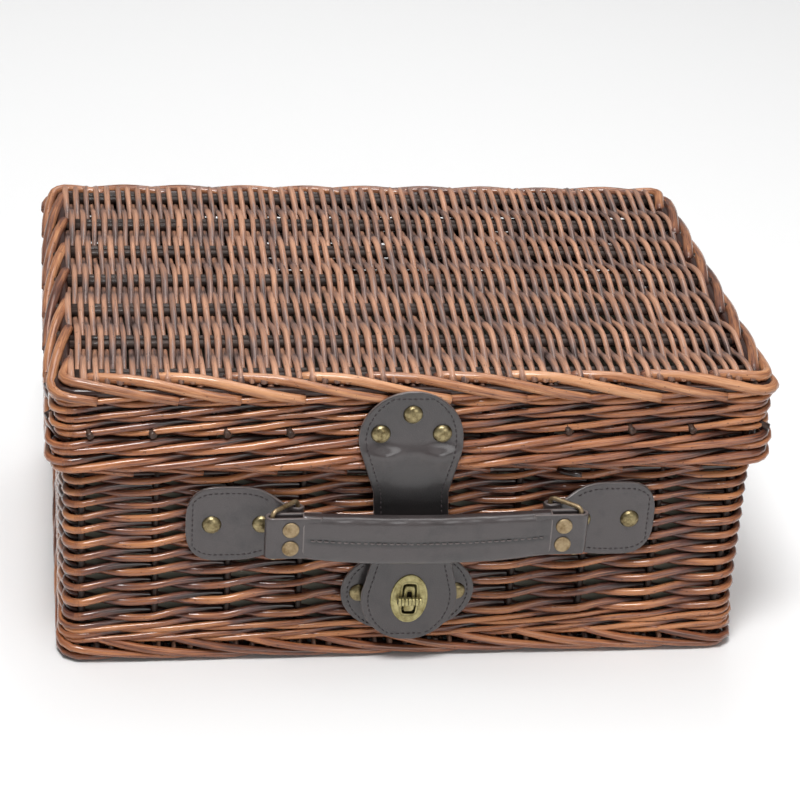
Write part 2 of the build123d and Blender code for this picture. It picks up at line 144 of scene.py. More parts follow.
class Rods:
    """Round rods gathered into one mesh. Each point keeps its place along the rod, the rod's tone and how
    far the stain is rubbed off there, and its place round the rod with the rod's own number."""

    def __init__(self, sides=8):
        self.sides, self.points, self.faces, self.rod, self.grain = sides, [], [], [], []
        self.count = 0

    def add(self, path, radius, tone=0.5, rub=0.5, side_to=UP, closed=False):
        path = np.asarray(path, float)
        n = len(path)
        if closed:
            tangent = np.roll(path, -1, 0) - np.roll(path, 1, 0)
        else:
            tangent = np.gradient(path, axis=0)
        tangent = unit(tangent)
        across = unit(np.cross(side_to, tangent))
        rise = np.cross(tangent, across)
        turn = np.arange(self.sides) * 2 * math.pi / self.sides
        reach = np.broadcast_to(radius, n)[:, None, None]
        ring = np.cos(turn)[None, :, None] * across[:, None] + np.sin(turn)[None, :, None] * rise[:, None]
        points = path[:, None] + reach * ring
        length = np.concatenate([[0], np.cumsum(np.linalg.norm(np.diff(path, axis=0), axis=1))])
        seed = random.random() * 50
        rod = np.stack([length, np.broadcast_to(tone, n), np.broadcast_to(rub, n)], axis=1)
        grain = np.stack([np.cos(turn), np.sin(turn), np.full(self.sides, seed)], axis=1)
        self.points.append(points.reshape(-1, 3))
        self.rod.append(np.repeat(rod, self.sides, axis=0))
        self.grain.append(np.tile(grain, (n, 1)))
        first, k = self.count, np.arange(self.sides)
        rows = np.arange(n if closed else n - 1)[:, None]
        after = (rows + 1) % n
        a = first + rows * self.sides + k
        b = first + rows * self.sides + (k + 1) % self.sides
        c = first + after * self.sides + (k + 1) % self.sides
        d = first + after * self.sides + k
        self.faces += np.stack([a, b, c, d], axis=-1).reshape(-1, 4).tolist()
        if not closed:
            self.faces.append((first + k[::-1]).tolist())
            self.faces.append((first + (n - 1) * self.sides + k).tolist())
        self.count += n * self.sides

    def piece(self, name, material, body, node=None, slot="stained_willow"):
        """The rods as one piece; node is the CAD node that it replaces."""
        marks = {"rod": np.vstack(self.rod), "grain": np.vstack(self.grain)}
        made = build(name, np.vstack(self.points), self.faces, material, body, marks)
        if node:
            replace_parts(made, node)
        return made


class Wall:
    """The middle line of a woven wall: a rounded rectangle that starts at the left of the front."""

    def __init__(self, half_x, half_y, radius=CORNER_R):
        self.half = np.array([half_x, half_y])
        self.radius = radius
        self.front, self.side = 2 * (half_x - radius), 2 * (half_y - radius)
        self.arc = math.pi * radius / 2
        self.length = 2 * (self.front + self.side) + 4 * self.arc

    def at(self, s, out, z):
        """Points at distances s along the wall, out from its middle line, at height z; and the outward ways."""
        s = np.mod(s, self.length)
        legs = [self.front, self.arc, self.side, self.arc] * 2
        starts = np.concatenate([[0], np.cumsum(legs)])
        leg = np.clip(np.searchsorted(starts, s, side="right") - 1, 0, 7)
        along = s - starts[leg]
        corner = (leg + 1) // 2 % 4
        corner_x = np.choose(corner, [-1, 1, 1, -1]) * (self.half[0] - self.radius)
        corner_y = np.choose(corner, [-1, -1, 1, 1]) * (self.half[1] - self.radius)
        angle = (leg // 2 - 1) * math.pi / 2
        bend = np.where(leg % 2 == 1, along / self.radius, 0.0)
        turned = angle + bend
        outward = np.stack([np.cos(turned), np.sin(turned), np.zeros_like(turned)], axis=-1)
        forward = np.stack([-outward[..., 1], outward[..., 0], outward[..., 2]], axis=-1)
        start = np.stack([corner_x, corner_y, np.zeros_like(turned)], axis=-1)
        straight = np.where(leg % 2 == 0, along, 0.0)[..., None] * forward
        base = start + straight + outward * (self.radius + np.broadcast_to(out, s.shape))[..., None]
        base[..., 2] = z
        return base, outward

    def stakes(self, across, deep):
        """Distances of the stakes: across of them in the front and back, deep of them in each side."""
        front = np.linspace(0, self.front, across)
        side = self.front + self.arc + (np.arange(deep) + 0.5) * self.side / deep
        half = np.concatenate([front, side])
        return np.concatenate([half, half + self.length / 2])


# ---------------------------------------------------------------- weaves
def rod_tones(n, piece_steps, spread=0.28, base=0.5):
    """Tones along a strand that is pieced from several rods: a new tone every so many steps."""
    tones, n_left = [], n
    while n_left > 0:
        run = min(n_left, int(piece_steps * random.uniform(0.6, 1.7)))
        tones += [base + random.uniform(-spread, spread)] * run
        n_left -= run
    return np.array(tones)


def strand(wall, stakes, turn_of, steps):
    """Places along a wall with steps between stakes: distance, stake count and slow wandering offsets."""
    count = len(stakes)
    q = np.arange(count * steps) / steps
    s = np.interp(q, np.arange(count + 1), np.append(stakes, stakes[0] + wall.length))
    phase, pace = random.uniform(0, 6.28), random.choice((3, 5, 7, 9))
    drift = 0.35 * np.sin(pace * 2 * math.pi * s / wall.length + phase)
    fine = 0.18 * np.sin(random.choice((23, 31, 41)) * 2 * math.pi * s / wall.length + phase)
    return s, q + turn_of, drift + fine


def pairing(rods, wall, stakes, z, radius, swing, climb):
    """One row of pairing: two rods that pass in front of every other stake, twisting round each other."""
    steps = 12
    for turn in (0, 1):
        s, q, drift = strand(wall, stakes, turn, steps)
        angle = math.pi * q
        out = swing * np.arcsin(0.96 * np.cos(angle)) / math.asin(0.96)
        height = z + climb * np.sin(angle) + drift
        path = wall.at(s, out, height)[0]
        rub = np.clip(0.5 + 0.5 * np.cos(angle + 0.35), 0, 1) * 0.95
        tone = rod_tones(len(s), 3.2 * steps)
        thick = radius * (1 + 0.07 * np.sin(s / 61 + 9 * tone[0]) + random.uniform(-0.06, 0.06))
        rods.add(path, thick, tone, rub, closed=True)


def wale(rods, wall, stakes, z, radius, swing, climb, base=0.55):
    """One row of three-rod wale: each rod passes in front of two stakes and behind one."""
    steps = 10
    closes = len(stakes) % 3 == 0
    if not closes:
        back = int(len(stakes) * 0.7)
        stakes = np.concatenate([stakes[back:], stakes[:back] + wall.length])
    places = [-0.5, 0, 1, 1.5, 2, 2.5]
    levels = [-1.0, -0.72, 0.72, 1.0, 0.1, -1.0]
    outs = [0.05, 0.93, 1.0, 0.1, -1.0, 0.05]
    beyond = [p + 3 * turn for turn in (-1, 0, 1) for p in places[:-1]] + [5.5]
    keyed = list(zip(levels, outs))[:-1] * 3 + [(-1.0, 0.05)]
    fine = curve(np.column_stack([beyond, keyed]), 6)
    for turn in (0, 1, 2):
        s, q, drift = strand(wall, stakes, turn, steps)
        m = np.mod(q, 3)
        level = np.interp(m, fine[:, 0], fine[:, 1])
        reach = np.interp(m, fine[:, 0], fine[:, 2])
        to_end = 1 if closes else np.minimum(np.arange(len(s)), np.arange(len(s))[::-1]) / steps
        out = np.maximum(swing * reach - 3.0 * np.clip(1 - to_end, 0, 1), -swing)
        path = wall.at(s, out, z + climb * level + drift)[0]
        rub = np.clip(0.25 + 0.75 * reach - 0.25 * level, 0, 1)
        tone = rod_tones(len(s), 3.4 * steps, 0.3, base)
        thick = radius * (1 + 0.09 * np.sin(s / 73 + 9 * tone[0]) + random.uniform(-0.08, 0.06))
        rods.add(path, thick, tone, rub, closed=closes)


def hoop(rods, wall, out, z, radius, tone=None, rub=0.2):
    """A plain rod all the way round, that fills the inside of a weave; pieced when no tone is given."""
    steps = 220
    around = np.linspace(0, wall.length, steps, endpoint=False)
    tone = rod_tones(steps, 50, 0.2, 0.4) if tone is None else tone
    rods.add(wall.at(around, out, z)[0], radius, tone, rub, closed=True)


def border(rods, wall, count, keys, radius, start, base, jitter=1.0, side_shade=0.0):
    """A plaited border: rods laid one over the next, each following (along, out, z) keys and cut at its end.
    Rods past the front get painted shade: their tone is lowered by the last value."""
    for n in range(count):
        shift = start + n * wall.length / count + random.uniform(-1.5, 1.5) * jitter
        stretch = random.uniform(0.95, 1.06)
        line = curve(keys, 5)
        s = shift + line[:, 0] * stretch
        lift = random.uniform(-0.3, 0.3) * jitter
        path, outward = wall.at(s, line[:, 1] + lift, line[:, 2] + lift * 0.5)
        share = np.linspace(0, 1, len(line))
        rub = np.clip(0.35 + 2.6 * share, 0, 1) * np.clip(1.35 - 0.5 * share, 0, 1)
        thick = radius * random.uniform(0.9, 1.07) * (1.06 - 0.16 * share) * np.minimum(1, 0.78 + 2.2 * share)
        # painted shade: the sides and back get a lower tone than the front
        tone = base + random.uniform(-0.28, 0.25) - (side_shade if shift > wall.front else 0)
        rods.add(path, thick, tone, rub, outward)


def panel(rods, sticks, low, high, z, count, radius, stick, tuck, base=0.5):
    """Weavers along Y over and under seven pairs of sticks along X."""
    steps = 9
    rows_at = np.linspace(low[1] + 6.0, high[1] - 6.0, 7)
    pitch = rows_at[1] - rows_at[0]
    swing = stick + radius * 0.85
    for y in rows_at:
        for side in (-1, 1):
            x = np.linspace(low[0] + 1, high[0] - 1, 24)
            offset = side * (stick + 0.25 + random.uniform(-0.2, 0.5))
            sway = random.uniform(0.2, 0.5) * np.sin(x / random.uniform(45, 80) + random.uniform(0, 6))
            path = np.column_stack([x, y + offset + sway, np.full_like(x, z)])
            sticks.add(path, stick * random.uniform(0.93, 1.03), random.uniform(0.2, 0.5), 0.3)
    for n in range(count):
        first = low[0] + (n + 0.5) * (high[0] - low[0]) / count + random.uniform(-0.25, 0.25)
        t = np.arange(-steps * 0.42, (len(rows_at) - 1 + 0.42) * steps + 0.5) / steps
        angle = math.pi * (t + n % 2)
        wave = np.arcsin(0.97 * np.cos(angle)) / math.asin(0.97)
        wave = np.sign(wave) * np.abs(wave) ** 0.75
        y = rows_at[0] + t * pitch
        y[0], y[-1] = low[1] - tuck, high[1] + tuck
        height = z + swing * wave
        height[0], height[-1] = z - 2.5, z - 2.5
        sway = random.uniform(-0.7, 0.7) * np.sin(t * random.uniform(0.5, 1.4) + random.uniform(0, 6))
        weave = 0.35 * np.sin(angle + math.pi / 2) * (1 if n % 2 else -1)
        path = np.column_stack([first + sway + weave, y, height])
        rub = np.clip(0.35 + 0.65 * np.abs(wave), 0, 1)
        tone = rod_tones(len(t), 3 * steps, 0.3, base)
        thick = radius * random.uniform(0.86, 1.1) * (1 + 0.08 * np.sin(t * 1.3 + n))
        rods.add(path, thick, tone, rub, np.array([1.0, 0, 0]))


# ---------------------------------------------------------------- materials
def node_material(name):
    material = bpy.data.materials.new(name)
    material.use_nodes = True
    tree = material.node_tree
    shader = tree.nodes["Principled BSDF"]
    return material, tree, shader


def feed(tree, node, inputs):
    """Give a node its inputs, which are values or other nodes' sockets."""
    for key, value in inputs.items():
        if isinstance(value, bpy.types.NodeSocket):
            tree.links.new(value, node.inputs[key])
        else:
            node.inputs[key].default_value = value


def add_node(tree, kind, inputs=None, **settings):
    """A node with some settings and inputs."""
    node = tree.nodes.new(kind)
    for key, value in settings.items():
        setattr(node, key, value)
    feed(tree, node, inputs or {})
    return node


def ramp(tree, factor, stops):
    node = tree.nodes.new("ShaderNodeValToRGB")
    while len(node.color_ramp.elements) < len(stops):
        node.color_ramp.elements.new(0.5)
    for element, (place, colour) in zip(node.color_ramp.elements, stops):
        element.position = place
        element.color = (*colour, 1.0)
    tree.links.new(factor, node.inputs["Fac"])
    return node.outputs["Color"]


def maths(tree, operation, a, b=0.0, c=0.0):
    return add_node(tree, "ShaderNodeMath", {0: a, 1: b, 2: c}, operation=operation).outputs[0]


def mix(tree, factor, a, b):
    """A colour between two colours, which are three values or other nodes' sockets."""
    a, b = ((*value, 1.0) if isinstance(value, tuple) else value for value in (a, b))
    return add_node(tree, "ShaderNodeMix", {0: factor, 6: a, 7: b}, data_type="RGBA").outputs[2]


def bump(tree, height, strength, distance):
    inputs = {"Height": height, "Strength": strength, "Distance": distance}
    return add_node(tree, "ShaderNodeBump", inputs).outputs["Normal"]


def srgb(r, g, b):
    """An 8-bit display colour as linear values."""
    return tuple((v / 255 / 12.92) if v <= 10 else ((v / 255 + 0.055) / 1.055) ** 2.4 for v in (r, g, b))


def stored(tree, key):
    """The X, Y and Z of a vector stored on the points."""
    vector = add_node(tree, "ShaderNodeAttribute", attribute_name=key).outputs["Vector"]
    return add_node(tree, "ShaderNodeSeparateXYZ", {"Vector": vector}).outputs


def noise(tree, place, scale, detail, **more):
    inputs = {"Vector": place, "Scale": scale, "Detail": detail, **more}
    return add_node(tree, "ShaderNodeTexNoise", inputs).outputs["Fac"]


def object_place(tree):
    return add_node(tree, "ShaderNodeTexCoord").outputs["Object"]


def willow(name, gloss, rough, *tones):
    """Stained and varnished willow: the stain is rubbed thin on what stands proud, with grain along each rod.
    The tones go from dark to bright."""
    material, tree, shader = node_material(name)
    tones = [srgb(*tone) for tone in tones]
    length, tone, rub = stored(tree, "rod")
    cosine, sine, seed = stored(tree, "grain")
    apart = maths(tree, "MULTIPLY", seed, 3.7)

    def along(pace, around=1.0):
        """A place on the rod: its length squeezed by pace, and each rod far from the next."""
        y, z = cosine, sine
        if around != 1.0:
            y, z = maths(tree, "MULTIPLY", cosine, around), maths(tree, "MULTIPLY", sine, around)
        inputs = {"X": maths(tree, "MULTIPLY_ADD", length, pace, apart), "Y": y, "Z": z}
        return add_node(tree, "ShaderNodeCombineXYZ", inputs).outputs[0]

    streaks = noise(tree, along(0.045, 2.4), 1.6, 5.0, Roughness=0.62)
    patches = noise(tree, along(0.03), 0.9, 2.0)
    wear = maths(tree, "MULTIPLY_ADD", rub, 0.66, -0.15)
    own = maths(tree, "MULTIPLY_ADD", tone, 0.6, wear)
    streaked = maths(tree, "MULTIPLY_ADD", maths(tree, "SUBTRACT", streaks, 0.5), 1.1, own)
    factor = maths(tree, "MULTIPLY_ADD", maths(tree, "SUBTRACT", patches, 0.5), 1.0, streaked)
    colour = ramp(tree, factor, list(zip((0.12, 0.42, 0.72, 1.0), tones)))
    specks = noise(tree, along(0.25), 1.5, 1.0)
    marked = maths(tree, "MULTIPLY", maths(tree, "GREATER_THAN", specks, 0.71), 0.55)
    feed(tree, shader, {
        "Base Color": mix(tree, marked, colour, tones[0]),
        "Roughness": maths(tree, "MULTIPLY_ADD", streaks, 0.35, rough),
        "Coat Weight": gloss, "Coat Roughness": 0.11,
        "Specular IOR Level": 0.25, "Specular Tint": (1.0, 0.92, 0.88, 1.0),
        "Normal": bump(tree, streaks, 0.45, 0.0006)})
    return material


def leather(name, colour, edge_colour, dark_and_shade_colour, gloss, rough):
    """Smooth leather with a fine pebbled grain, cloudy tone, rubbed cut edges, painted shade and a little
    polish.
    """
    material, tree, shader = node_material(name)
    place = object_place(tree)
    pebbles = add_node(tree, "ShaderNodeTexVoronoi", {"Vector": place, "Scale": 1500.0}).outputs["Distance"]
    cloud = noise(tree, place, 55.0, 4.0, Roughness=0.6)
    fine = noise(tree, place, 900.0, 3.0, Roughness=0.7)
    edge = stored(tree, "hide")
    base = ramp(tree, maths(tree, "MULTIPLY_ADD", fine, 0.35, cloud), [(0.3, dark_and_shade_colour), (0.68, colour)])
    # Painted shade: the hide mark's Y mixes the leather towards its darkest colour.
    shaded = mix(tree, edge["Y"], base, dark_and_shade_colour)
    height = maths(tree, "MULTIPLY_ADD", fine, 0.5, pebbles)
    feed(tree, shader, {
        "Base Color": mix(tree, edge["X"], shaded, edge_colour),
        "Roughness": maths(tree, "MULTIPLY_ADD", fine, 0.22, rough),
        "Coat Weight": gloss, "Coat Roughness": 0.2, "Normal": bump(tree, height, 0.35, 0.0004)})
    return material


def brass(name, bright, dull, rough, tarnish=0.5):
    """Antique brass: dark tarnish in cloudy patches, brushed bright elsewhere, and near-black painted shade in
    hollows and where it meets other parts.
    """
    material, tree, shader = node_material(name)
    place = object_place(tree)
    cloud = noise(tree, place, 260.0, 5.0, Roughness=0.65)
    fine = noise(tree, place, 2600.0, 2.0)
    # Painted shade: the hide mark's X mixes the brass towards near black.
    low = stored(tree, "hide")["X"]
    tone = ramp(tree, cloud, [(tarnish - 0.16, dull), (tarnish + 0.14, bright)])
    feed(tree, shader, {
        "Base Color": mix(tree, low, tone, (0.012, 0.01, 0.007)),
        "Roughness": maths(tree, "MULTIPLY_ADD", fine, 0.3, rough),
        "Metallic": 0.85, "Normal": bump(tree, fine, 0.12, 0.0002)})
    return material


def cloth(name, colour, dark):
    """Plain woven cloth, with its threads in both directions and soft uneven tone."""
    material, tree, shader = node_material(name)
    place = object_place(tree)
    x, y, z = add_node(tree, "ShaderNodeSeparateXYZ", {"Vector": place}).outputs
    flat = maths(tree, "ADD", x, y)
    thread = 2 * math.pi / 0.0011
    warp = maths(tree, "SINE", maths(tree, "MULTIPLY", flat, thread))
    rising = maths(tree, "ADD", z, maths(tree, "SUBTRACT", x, y))
    weft = maths(tree, "SINE", maths(tree, "MULTIPLY", rising, thread))
    weave = maths(tree, "MULTIPLY", warp, weft)
    cloud = noise(tree, place, 40.0, 5.0)
    factor = maths(tree, "MULTIPLY_ADD", weave, 0.16, cloud)
    feed(tree, shader, {
        "Base Color": ramp(tree, factor, [(0.2, dark), (0.8, colour)]), "Roughness": 0.9,
        "Sheen Weight": 0.25, "Normal": bump(tree, weave, 0.5, 0.0003)})
    return material


def thread_material(name, colour, dark):
    """Twisted thread, with painted light and shade on its twist: light where it stands up, dark in its grooves.
    """
    material, tree, shader = node_material(name)
    place = object_place(tree)
    wave = {"Vector": place, "Scale": 700.0, "Distortion": 2.0}
    twist = add_node(tree, "ShaderNodeTexWave", wave).outputs["Fac"]
    feed(tree, shader, {
        "Base Color": ramp(tree, twist, [(0.2, dark), (0.8, colour)]), "Roughness": 0.75,
        "Normal": bump(tree, twist, 0.4, 0.0002)})
    return material


wall_willow = willow("willow_wall", 0.9, 0.22, (32, 17, 15), (94, 57, 48), (148, 92, 60), (184, 122, 78))
rim_willow = willow("willow_rim", 0.9, 0.22, (28, 14, 10), (72, 41, 31), (130, 76, 50), (176, 114, 74))
border_willow = willow("willow_border", 0.6, 0.28, (46, 25, 20), (106, 67, 53), (162, 108, 74), (196, 142, 102))
# The panel's grey middle tones are partly a faded, dusty stain and partly a painted sheen: the grey of a soft
# reflection on the lid's top.
panel_willow = willow("willow_panel", 0.45, 0.3, (46, 33, 31), (114, 93, 87), (160, 118, 96), (192, 144, 116))
stick_willow = willow("willow_sticks", 0.15, 0.42, (34, 25, 22), (62, 50, 45), (94, 78, 72), (116, 100, 92))
stake_willow = willow("willow_stakes", 0.3, 0.34, (26, 18, 15), (50, 36, 30), (80, 60, 50), (100, 80, 68))
hide = leather("leather_grey", srgb(56, 48, 48), srgb(104, 95, 93), srgb(16, 12, 13), 1.0, 0.4)
dome_brass = brass("brass_dome", srgb(172, 158, 118), srgb(92, 78, 50), 0.2)
flat_brass = brass("brass_flat", srgb(172, 152, 120), srgb(122, 100, 68), 0.36, 0.45)
plate_brass = brass("brass_plate", srgb(186, 176, 128), srgb(124, 112, 68), 0.28, 0.45)
lining_cloth = cloth("lining_cloth", srgb(158, 155, 140), srgb(134, 131, 117))
seam_thread = thread_material("seam_thread", srgb(64, 54, 56), srgb(30, 24, 26))
handle_thread = thread_material("handle_thread", srgb(128, 118, 116), srgb(70, 64, 64))


# ---------------------------------------------------------------- leather helpers
EDGE_STEPS = (0.0, 0.12, 0.4, 0.9, 1.6)  # distances from a cut edge at which its rounding is modelled
INNER = 7  # points across a leaf on each side of its middle


def rounding(distance):
    """Half the thickness of leather near its cut edge: half round, with a narrow flat left in the middle."""
    reach = np.clip(distance / 0.9, 0, 1)
    return LEATHER / 2 * (0.35 + 0.65 * np.sqrt(1 - (1 - reach) ** 2))


def leaf(name, along, low, high, place, body, hole=None, fold=None):
    """A flat piece of leather. along are the places of its rows, low and high the edges of each row, and place
    gives the point and the outward way of (along, across). hole = (from, to, from across, to across), and fold
    gives the painted shade of each row."""
    along = np.asarray(along, float)
    fixed = (hole[2], hole[3]) if hole else None
    points, marks, count = [], [], None
    for t, a, b in zip(along, low, high):
        width = b - a
        steps = np.minimum(EDGE_STEPS, width * 0.04 * np.arange(len(EDGE_STEPS)))
        left, right = a + steps, b - steps[::-1]
        if fixed and width > 3 * (fixed[1] - fixed[0]):
            between = np.concatenate([
                np.linspace(left[-1], fixed[0], INNER + 2)[1:],
                np.linspace(fixed[1], right[0], INNER + 2)[:-1]])
        else:
            between = np.linspace(left[-1], right[0], 2 * INNER + 4)[1:-1]
        across = np.concatenate([left, between, right])
        count = len(across)
        to_edge = np.minimum(np.minimum(across - a, b - across), min(t - along[0], along[-1] - t))
        half = rounding(to_edge)
        centre, outward = place(np.full(count, t), across)
        points.append(np.stack([centre + outward * half[:, None], centre - outward * half[:, None]]))
        edge = np.clip(1 - to_edge / 0.35, 0, 1)
        # painted shade of the row, from fold
        row_shade = np.full(count, fold(t) if fold else 0.0)
        marks.append(np.stack([edge, row_shade, np.zeros(count)], axis=1))
    n = len(along)
    grid = np.array(points)  # row, face, column, xyz
    index = np.arange(n * 2 * count).reshape(n, 2, count)
    faces = []
    for i in range(n - 1):
        holed = hole and hole[0] - 1e-6 <= along[i] and along[i + 1] <= hole[1] + 1e-6
        for j in range(count - 1):
            (front, front_on), (back, back_on) = index[i, :, j:j + 2]
            (next_front, next_front_on), (next_back, next_back_on) = index[i + 1, :, j:j + 2]
            if not holed or j != count // 2 - 1:
                faces.append([front, front_on, next_front_on, next_front])
                faces.append([back, next_back, next_back_on, back_on])
                continue
            faces.append([front, back, next_back, next_front])
            faces.append([back_on, front_on, next_front_on, next_back_on])
            if abs(along[i] - hole[0]) < 1e-6:
                faces.append([front, front_on, back_on, back])
            if abs(along[i + 1] - hole[1]) < 1e-6:
                faces.append([next_back, next_back_on, next_front_on, next_front])
        for j in (0, count - 1):
            quad = [index[i, 0, j], index[i + 1, 0, j], index[i + 1, 1, j], index[i, 1, j]]
            faces.append(quad if j == 0 else quad[::-1])
    for i in (0, n - 1):
        for j in range(count - 1):
            quad = [index[i, 0, j], index[i, 1, j], index[i, 1, j + 1], index[i, 0, j + 1]]
            faces.append(quad if i == 0 else quad[::-1])
    faces = [[int(v) for v in face] for face in faces]
    both = np.repeat(np.array(marks)[:, None], 2, axis=1).reshape(-1, 3)
    return build(name, grid.reshape(-1, 3), faces, hide, body, {"hide": both}, outwards=True)


def stitches(name, line, outward, body, material=seam_thread, pitch=3.1, size=2.15, radius=0.34):
    """Stitches along a line on a surface, each a short thread that dips at both ends."""
    line, outward = np.asarray(line, float), np.broadcast_to(outward, (len(line), 3))
    gone = np.concatenate([[0], np.cumsum(np.linalg.norm(np.diff(line, axis=0), axis=1))])
    rods = Rods(6)
    for n in range(int(gone[-1] / pitch)):
        s = (n + 0.5) * pitch + np.linspace(-size / 2, size / 2, 5)
        at = np.column_stack([np.interp(s, gone, line[:, k]) for k in range(3)])
        way = unit(np.column_stack([np.interp(s, gone, outward[:, k]) for k in range(3)]))
        rise = np.array([-0.28, 0.08, 0.16, 0.08, -0.28])[:, None]
        rods.add(at + way * rise, radius * np.array([0.55, 1, 1, 1, 0.55]), 0.5, 0.5, way)
    return rods.piece(name, material, body, slot="grey_leather")


def lathe(profile, middle_at, axis, sides=28):
    """Points and faces of a turned shape: profile rows are (radius, height, painted shade) along an axis."""
    axis = unit(np.asarray(axis, float))
    one = unit(np.cross(axis, [0.31, 0.2, 0.93]))
    other = np.cross(axis, one)
    turn = np.arange(sides) * 2 * math.pi / sides
    points, shade = [], []
    for radius, height, dark in profile:
        ring = np.cos(turn)[:, None] * one + np.sin(turn)[:, None] * other
        points.append(middle_at + axis * height + radius * ring)
        shade += [dark] * sides
    faces = quads(len(profile), sides)
    faces.append([(len(profile) - 1) * sides + k for k in range(sides)])
    faces.append(list(range(sides))[::-1])
    return np.vstack(points), faces, shade


def turned(name, places, axis, profile, material, body, node):
    """Several turned pieces in one object, such as the heads of rivets, in place of a CAD node."""
    points, faces, shade, count = [], [], [], 0
    for place in places:
        p, f, d = lathe(profile, np.asarray(place, float), axis)
        points.append(p)
        faces += [[v + count for v in face] for face in f]
        shade += d
        count += len(p)
    marks = darkened(shade)
    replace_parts(build(name, np.vstack(points), faces, material, body, marks, outwards=True), node)


SHANK_R = 1.5
# Rows are (radius, height, painted shade): the brim and the foot of the dome are painted dark as the shade
# where the head meets the leather.
DOME = [(SHANK_R, -0.2, 0), (5.2, -0.15, 1.0), (5.35, 0.25, 0.9), (5.2, 0.6, 0.45)] + [
    (5.05 * math.cos(a), 0.6 + 2.5 * math.sin(a), 0.35 * max(0, 1 - 3 * a)) for a in np.linspace(0.12, 1.5, 9)]


def head_places(node):
    """Middles (x, z) of the rivet heads in a CAD node, from its separate solids."""
    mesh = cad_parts[node].data
    co = np.array([v.co for v in mesh.vertices]) / MM
    linked = list(range(len(co)))

    def root(i):
        while linked[i] != i:
            linked[i] = linked[linked[i]]
            i = linked[i]
        return i

    keys = {}
    for i, c in enumerate(np.round(co, 3)):
        linked[root(i)] = root(keys.setdefault(tuple(c), i))
    for edge in mesh.edges:
        linked[root(edge.vertices[0])] = root(edge.vertices[1])
    groups = {}
    for i in range(len(co)):
        groups.setdefault(root(i), []).append(co[i])
    found = []
    for group in groups.values():
        group = np.array(group)
        x, z = (group.min(0)[[0, 2]] + group.max(0)[[0, 2]]) / 2
        found.append((round(x, 2), round(z, 2)))
    return sorted(found)


def domes(name, node, y, shank, body, shift=lambda z: 0.0):
    """Domed heads with a narrow brim on the plane y, facing away from the basket, each on its shank."""
    places = [(x + shift(z), y, z) for x, z in head_places(node)]
    turned(name, places, (0, math.copysign(1, y), 0), [(SHANK_R, -shank, 0)] + DOME, dome_brass, body, node)


# ---------------------------------------------------------------- wicker body
body_wall = Wall(WALL_OUT[0] - WALL / 2, WALL_OUT[1] - WALL / 2)
body_stakes = body_wall.stakes(10, 6)
STAKE_SIDE = np.array([1.0, 0.2, 0])

upright = Rods()
for s in body_stakes:
    foot = body_wall.at(np.full(12, s), 0, np.linspace(9, SEAM - 3, 12))[0]
    upright.add(foot, STAKE_R, random.uniform(0.3, 0.6), 0.3, STAKE_SIDE)
upright.piece("stakes_of_body", stake_willow, "basket", "body_stakes")

row_heights = [115 - 7.2 * k - 0.14 * k * k for k in range(11)]
for part, chosen in (("upper", row_heights[:4]), ("middle", row_heights[4:8]), ("lower", row_heights[8:])):
    rods = Rods()
    for z in chosen:
        pairing(rods, body_wall, body_stakes, z, 2.1 - 0.003 * (z - 70), 3.1, 2.1)
    rods.piece(f"weave_of_body_{part}", wall_willow, "basket", "body_weave")

rods = Rods()
for z in (21.6, 15.0):
    wale(rods, body_wall, body_stakes, z, 1.6, 3.3, 2.3)
rods.piece("wale_at_the_bottom", wall_willow, "basket", "bottom_wale")

# the keys of the borders are (along, out, z)
FOOT_KEYS = [(-6, -4, 19), (0, 0.5, 16.5), (14, 3.4, 12.6), (34, 4.7, 8.2), (58, 4.4, 4.8), (84, 3.2, 3.0),
             (98, 0, 2.8)]
rods = Rods(10)
border(rods, body_wall, len(body_stakes), FOOT_KEYS, 2.3, 4, 0.4)
hoop(rods, body_wall, -1.5, 3.2, 2.6, 0.25)
rods.piece("border_of_foot", rim_willow, "basket", "foot_border")

RIM_KEYS = [(-8, -4, 114), (0, -4.2, 118.6), (12, -2.6, 120.0), (30, -0.4, 120.1), (50, 1.4, 119.6),
            (64, 1.8, 117.8)]
LOOSE_END = [(79, -129, 117.5), (83, -133.4, 118), (88, -137, 118.6), (91.5, -138.6, 119.2)]
rods = Rods()
border(rods, body_wall, len(body_stakes), RIM_KEYS, 1.75, 0, 0.5, 0.4)
hoop(rods, body_wall, -0.4, 117.2, 1.7, 0.3)
rods.add(LOOSE_END, 1.6, 0.15, 0.1)
rods.piece("border_of_body", rim_willow, "basket", "body_border")

low, high = box("base_weave")
rods, sticks = Rods(), Rods()
panel(rods, sticks, low, high, 5.2, 84, 1.6, 1.8, 2.5, 0.4)
rods.piece("weavers_of_base", panel_willow, "basket", "base_weave")
sticks.piece("sticks_of_base", stick_willow, "basket", "base_sticks")

# ---------------------------------------------------------------- lining
LINING_FACE = 0.5


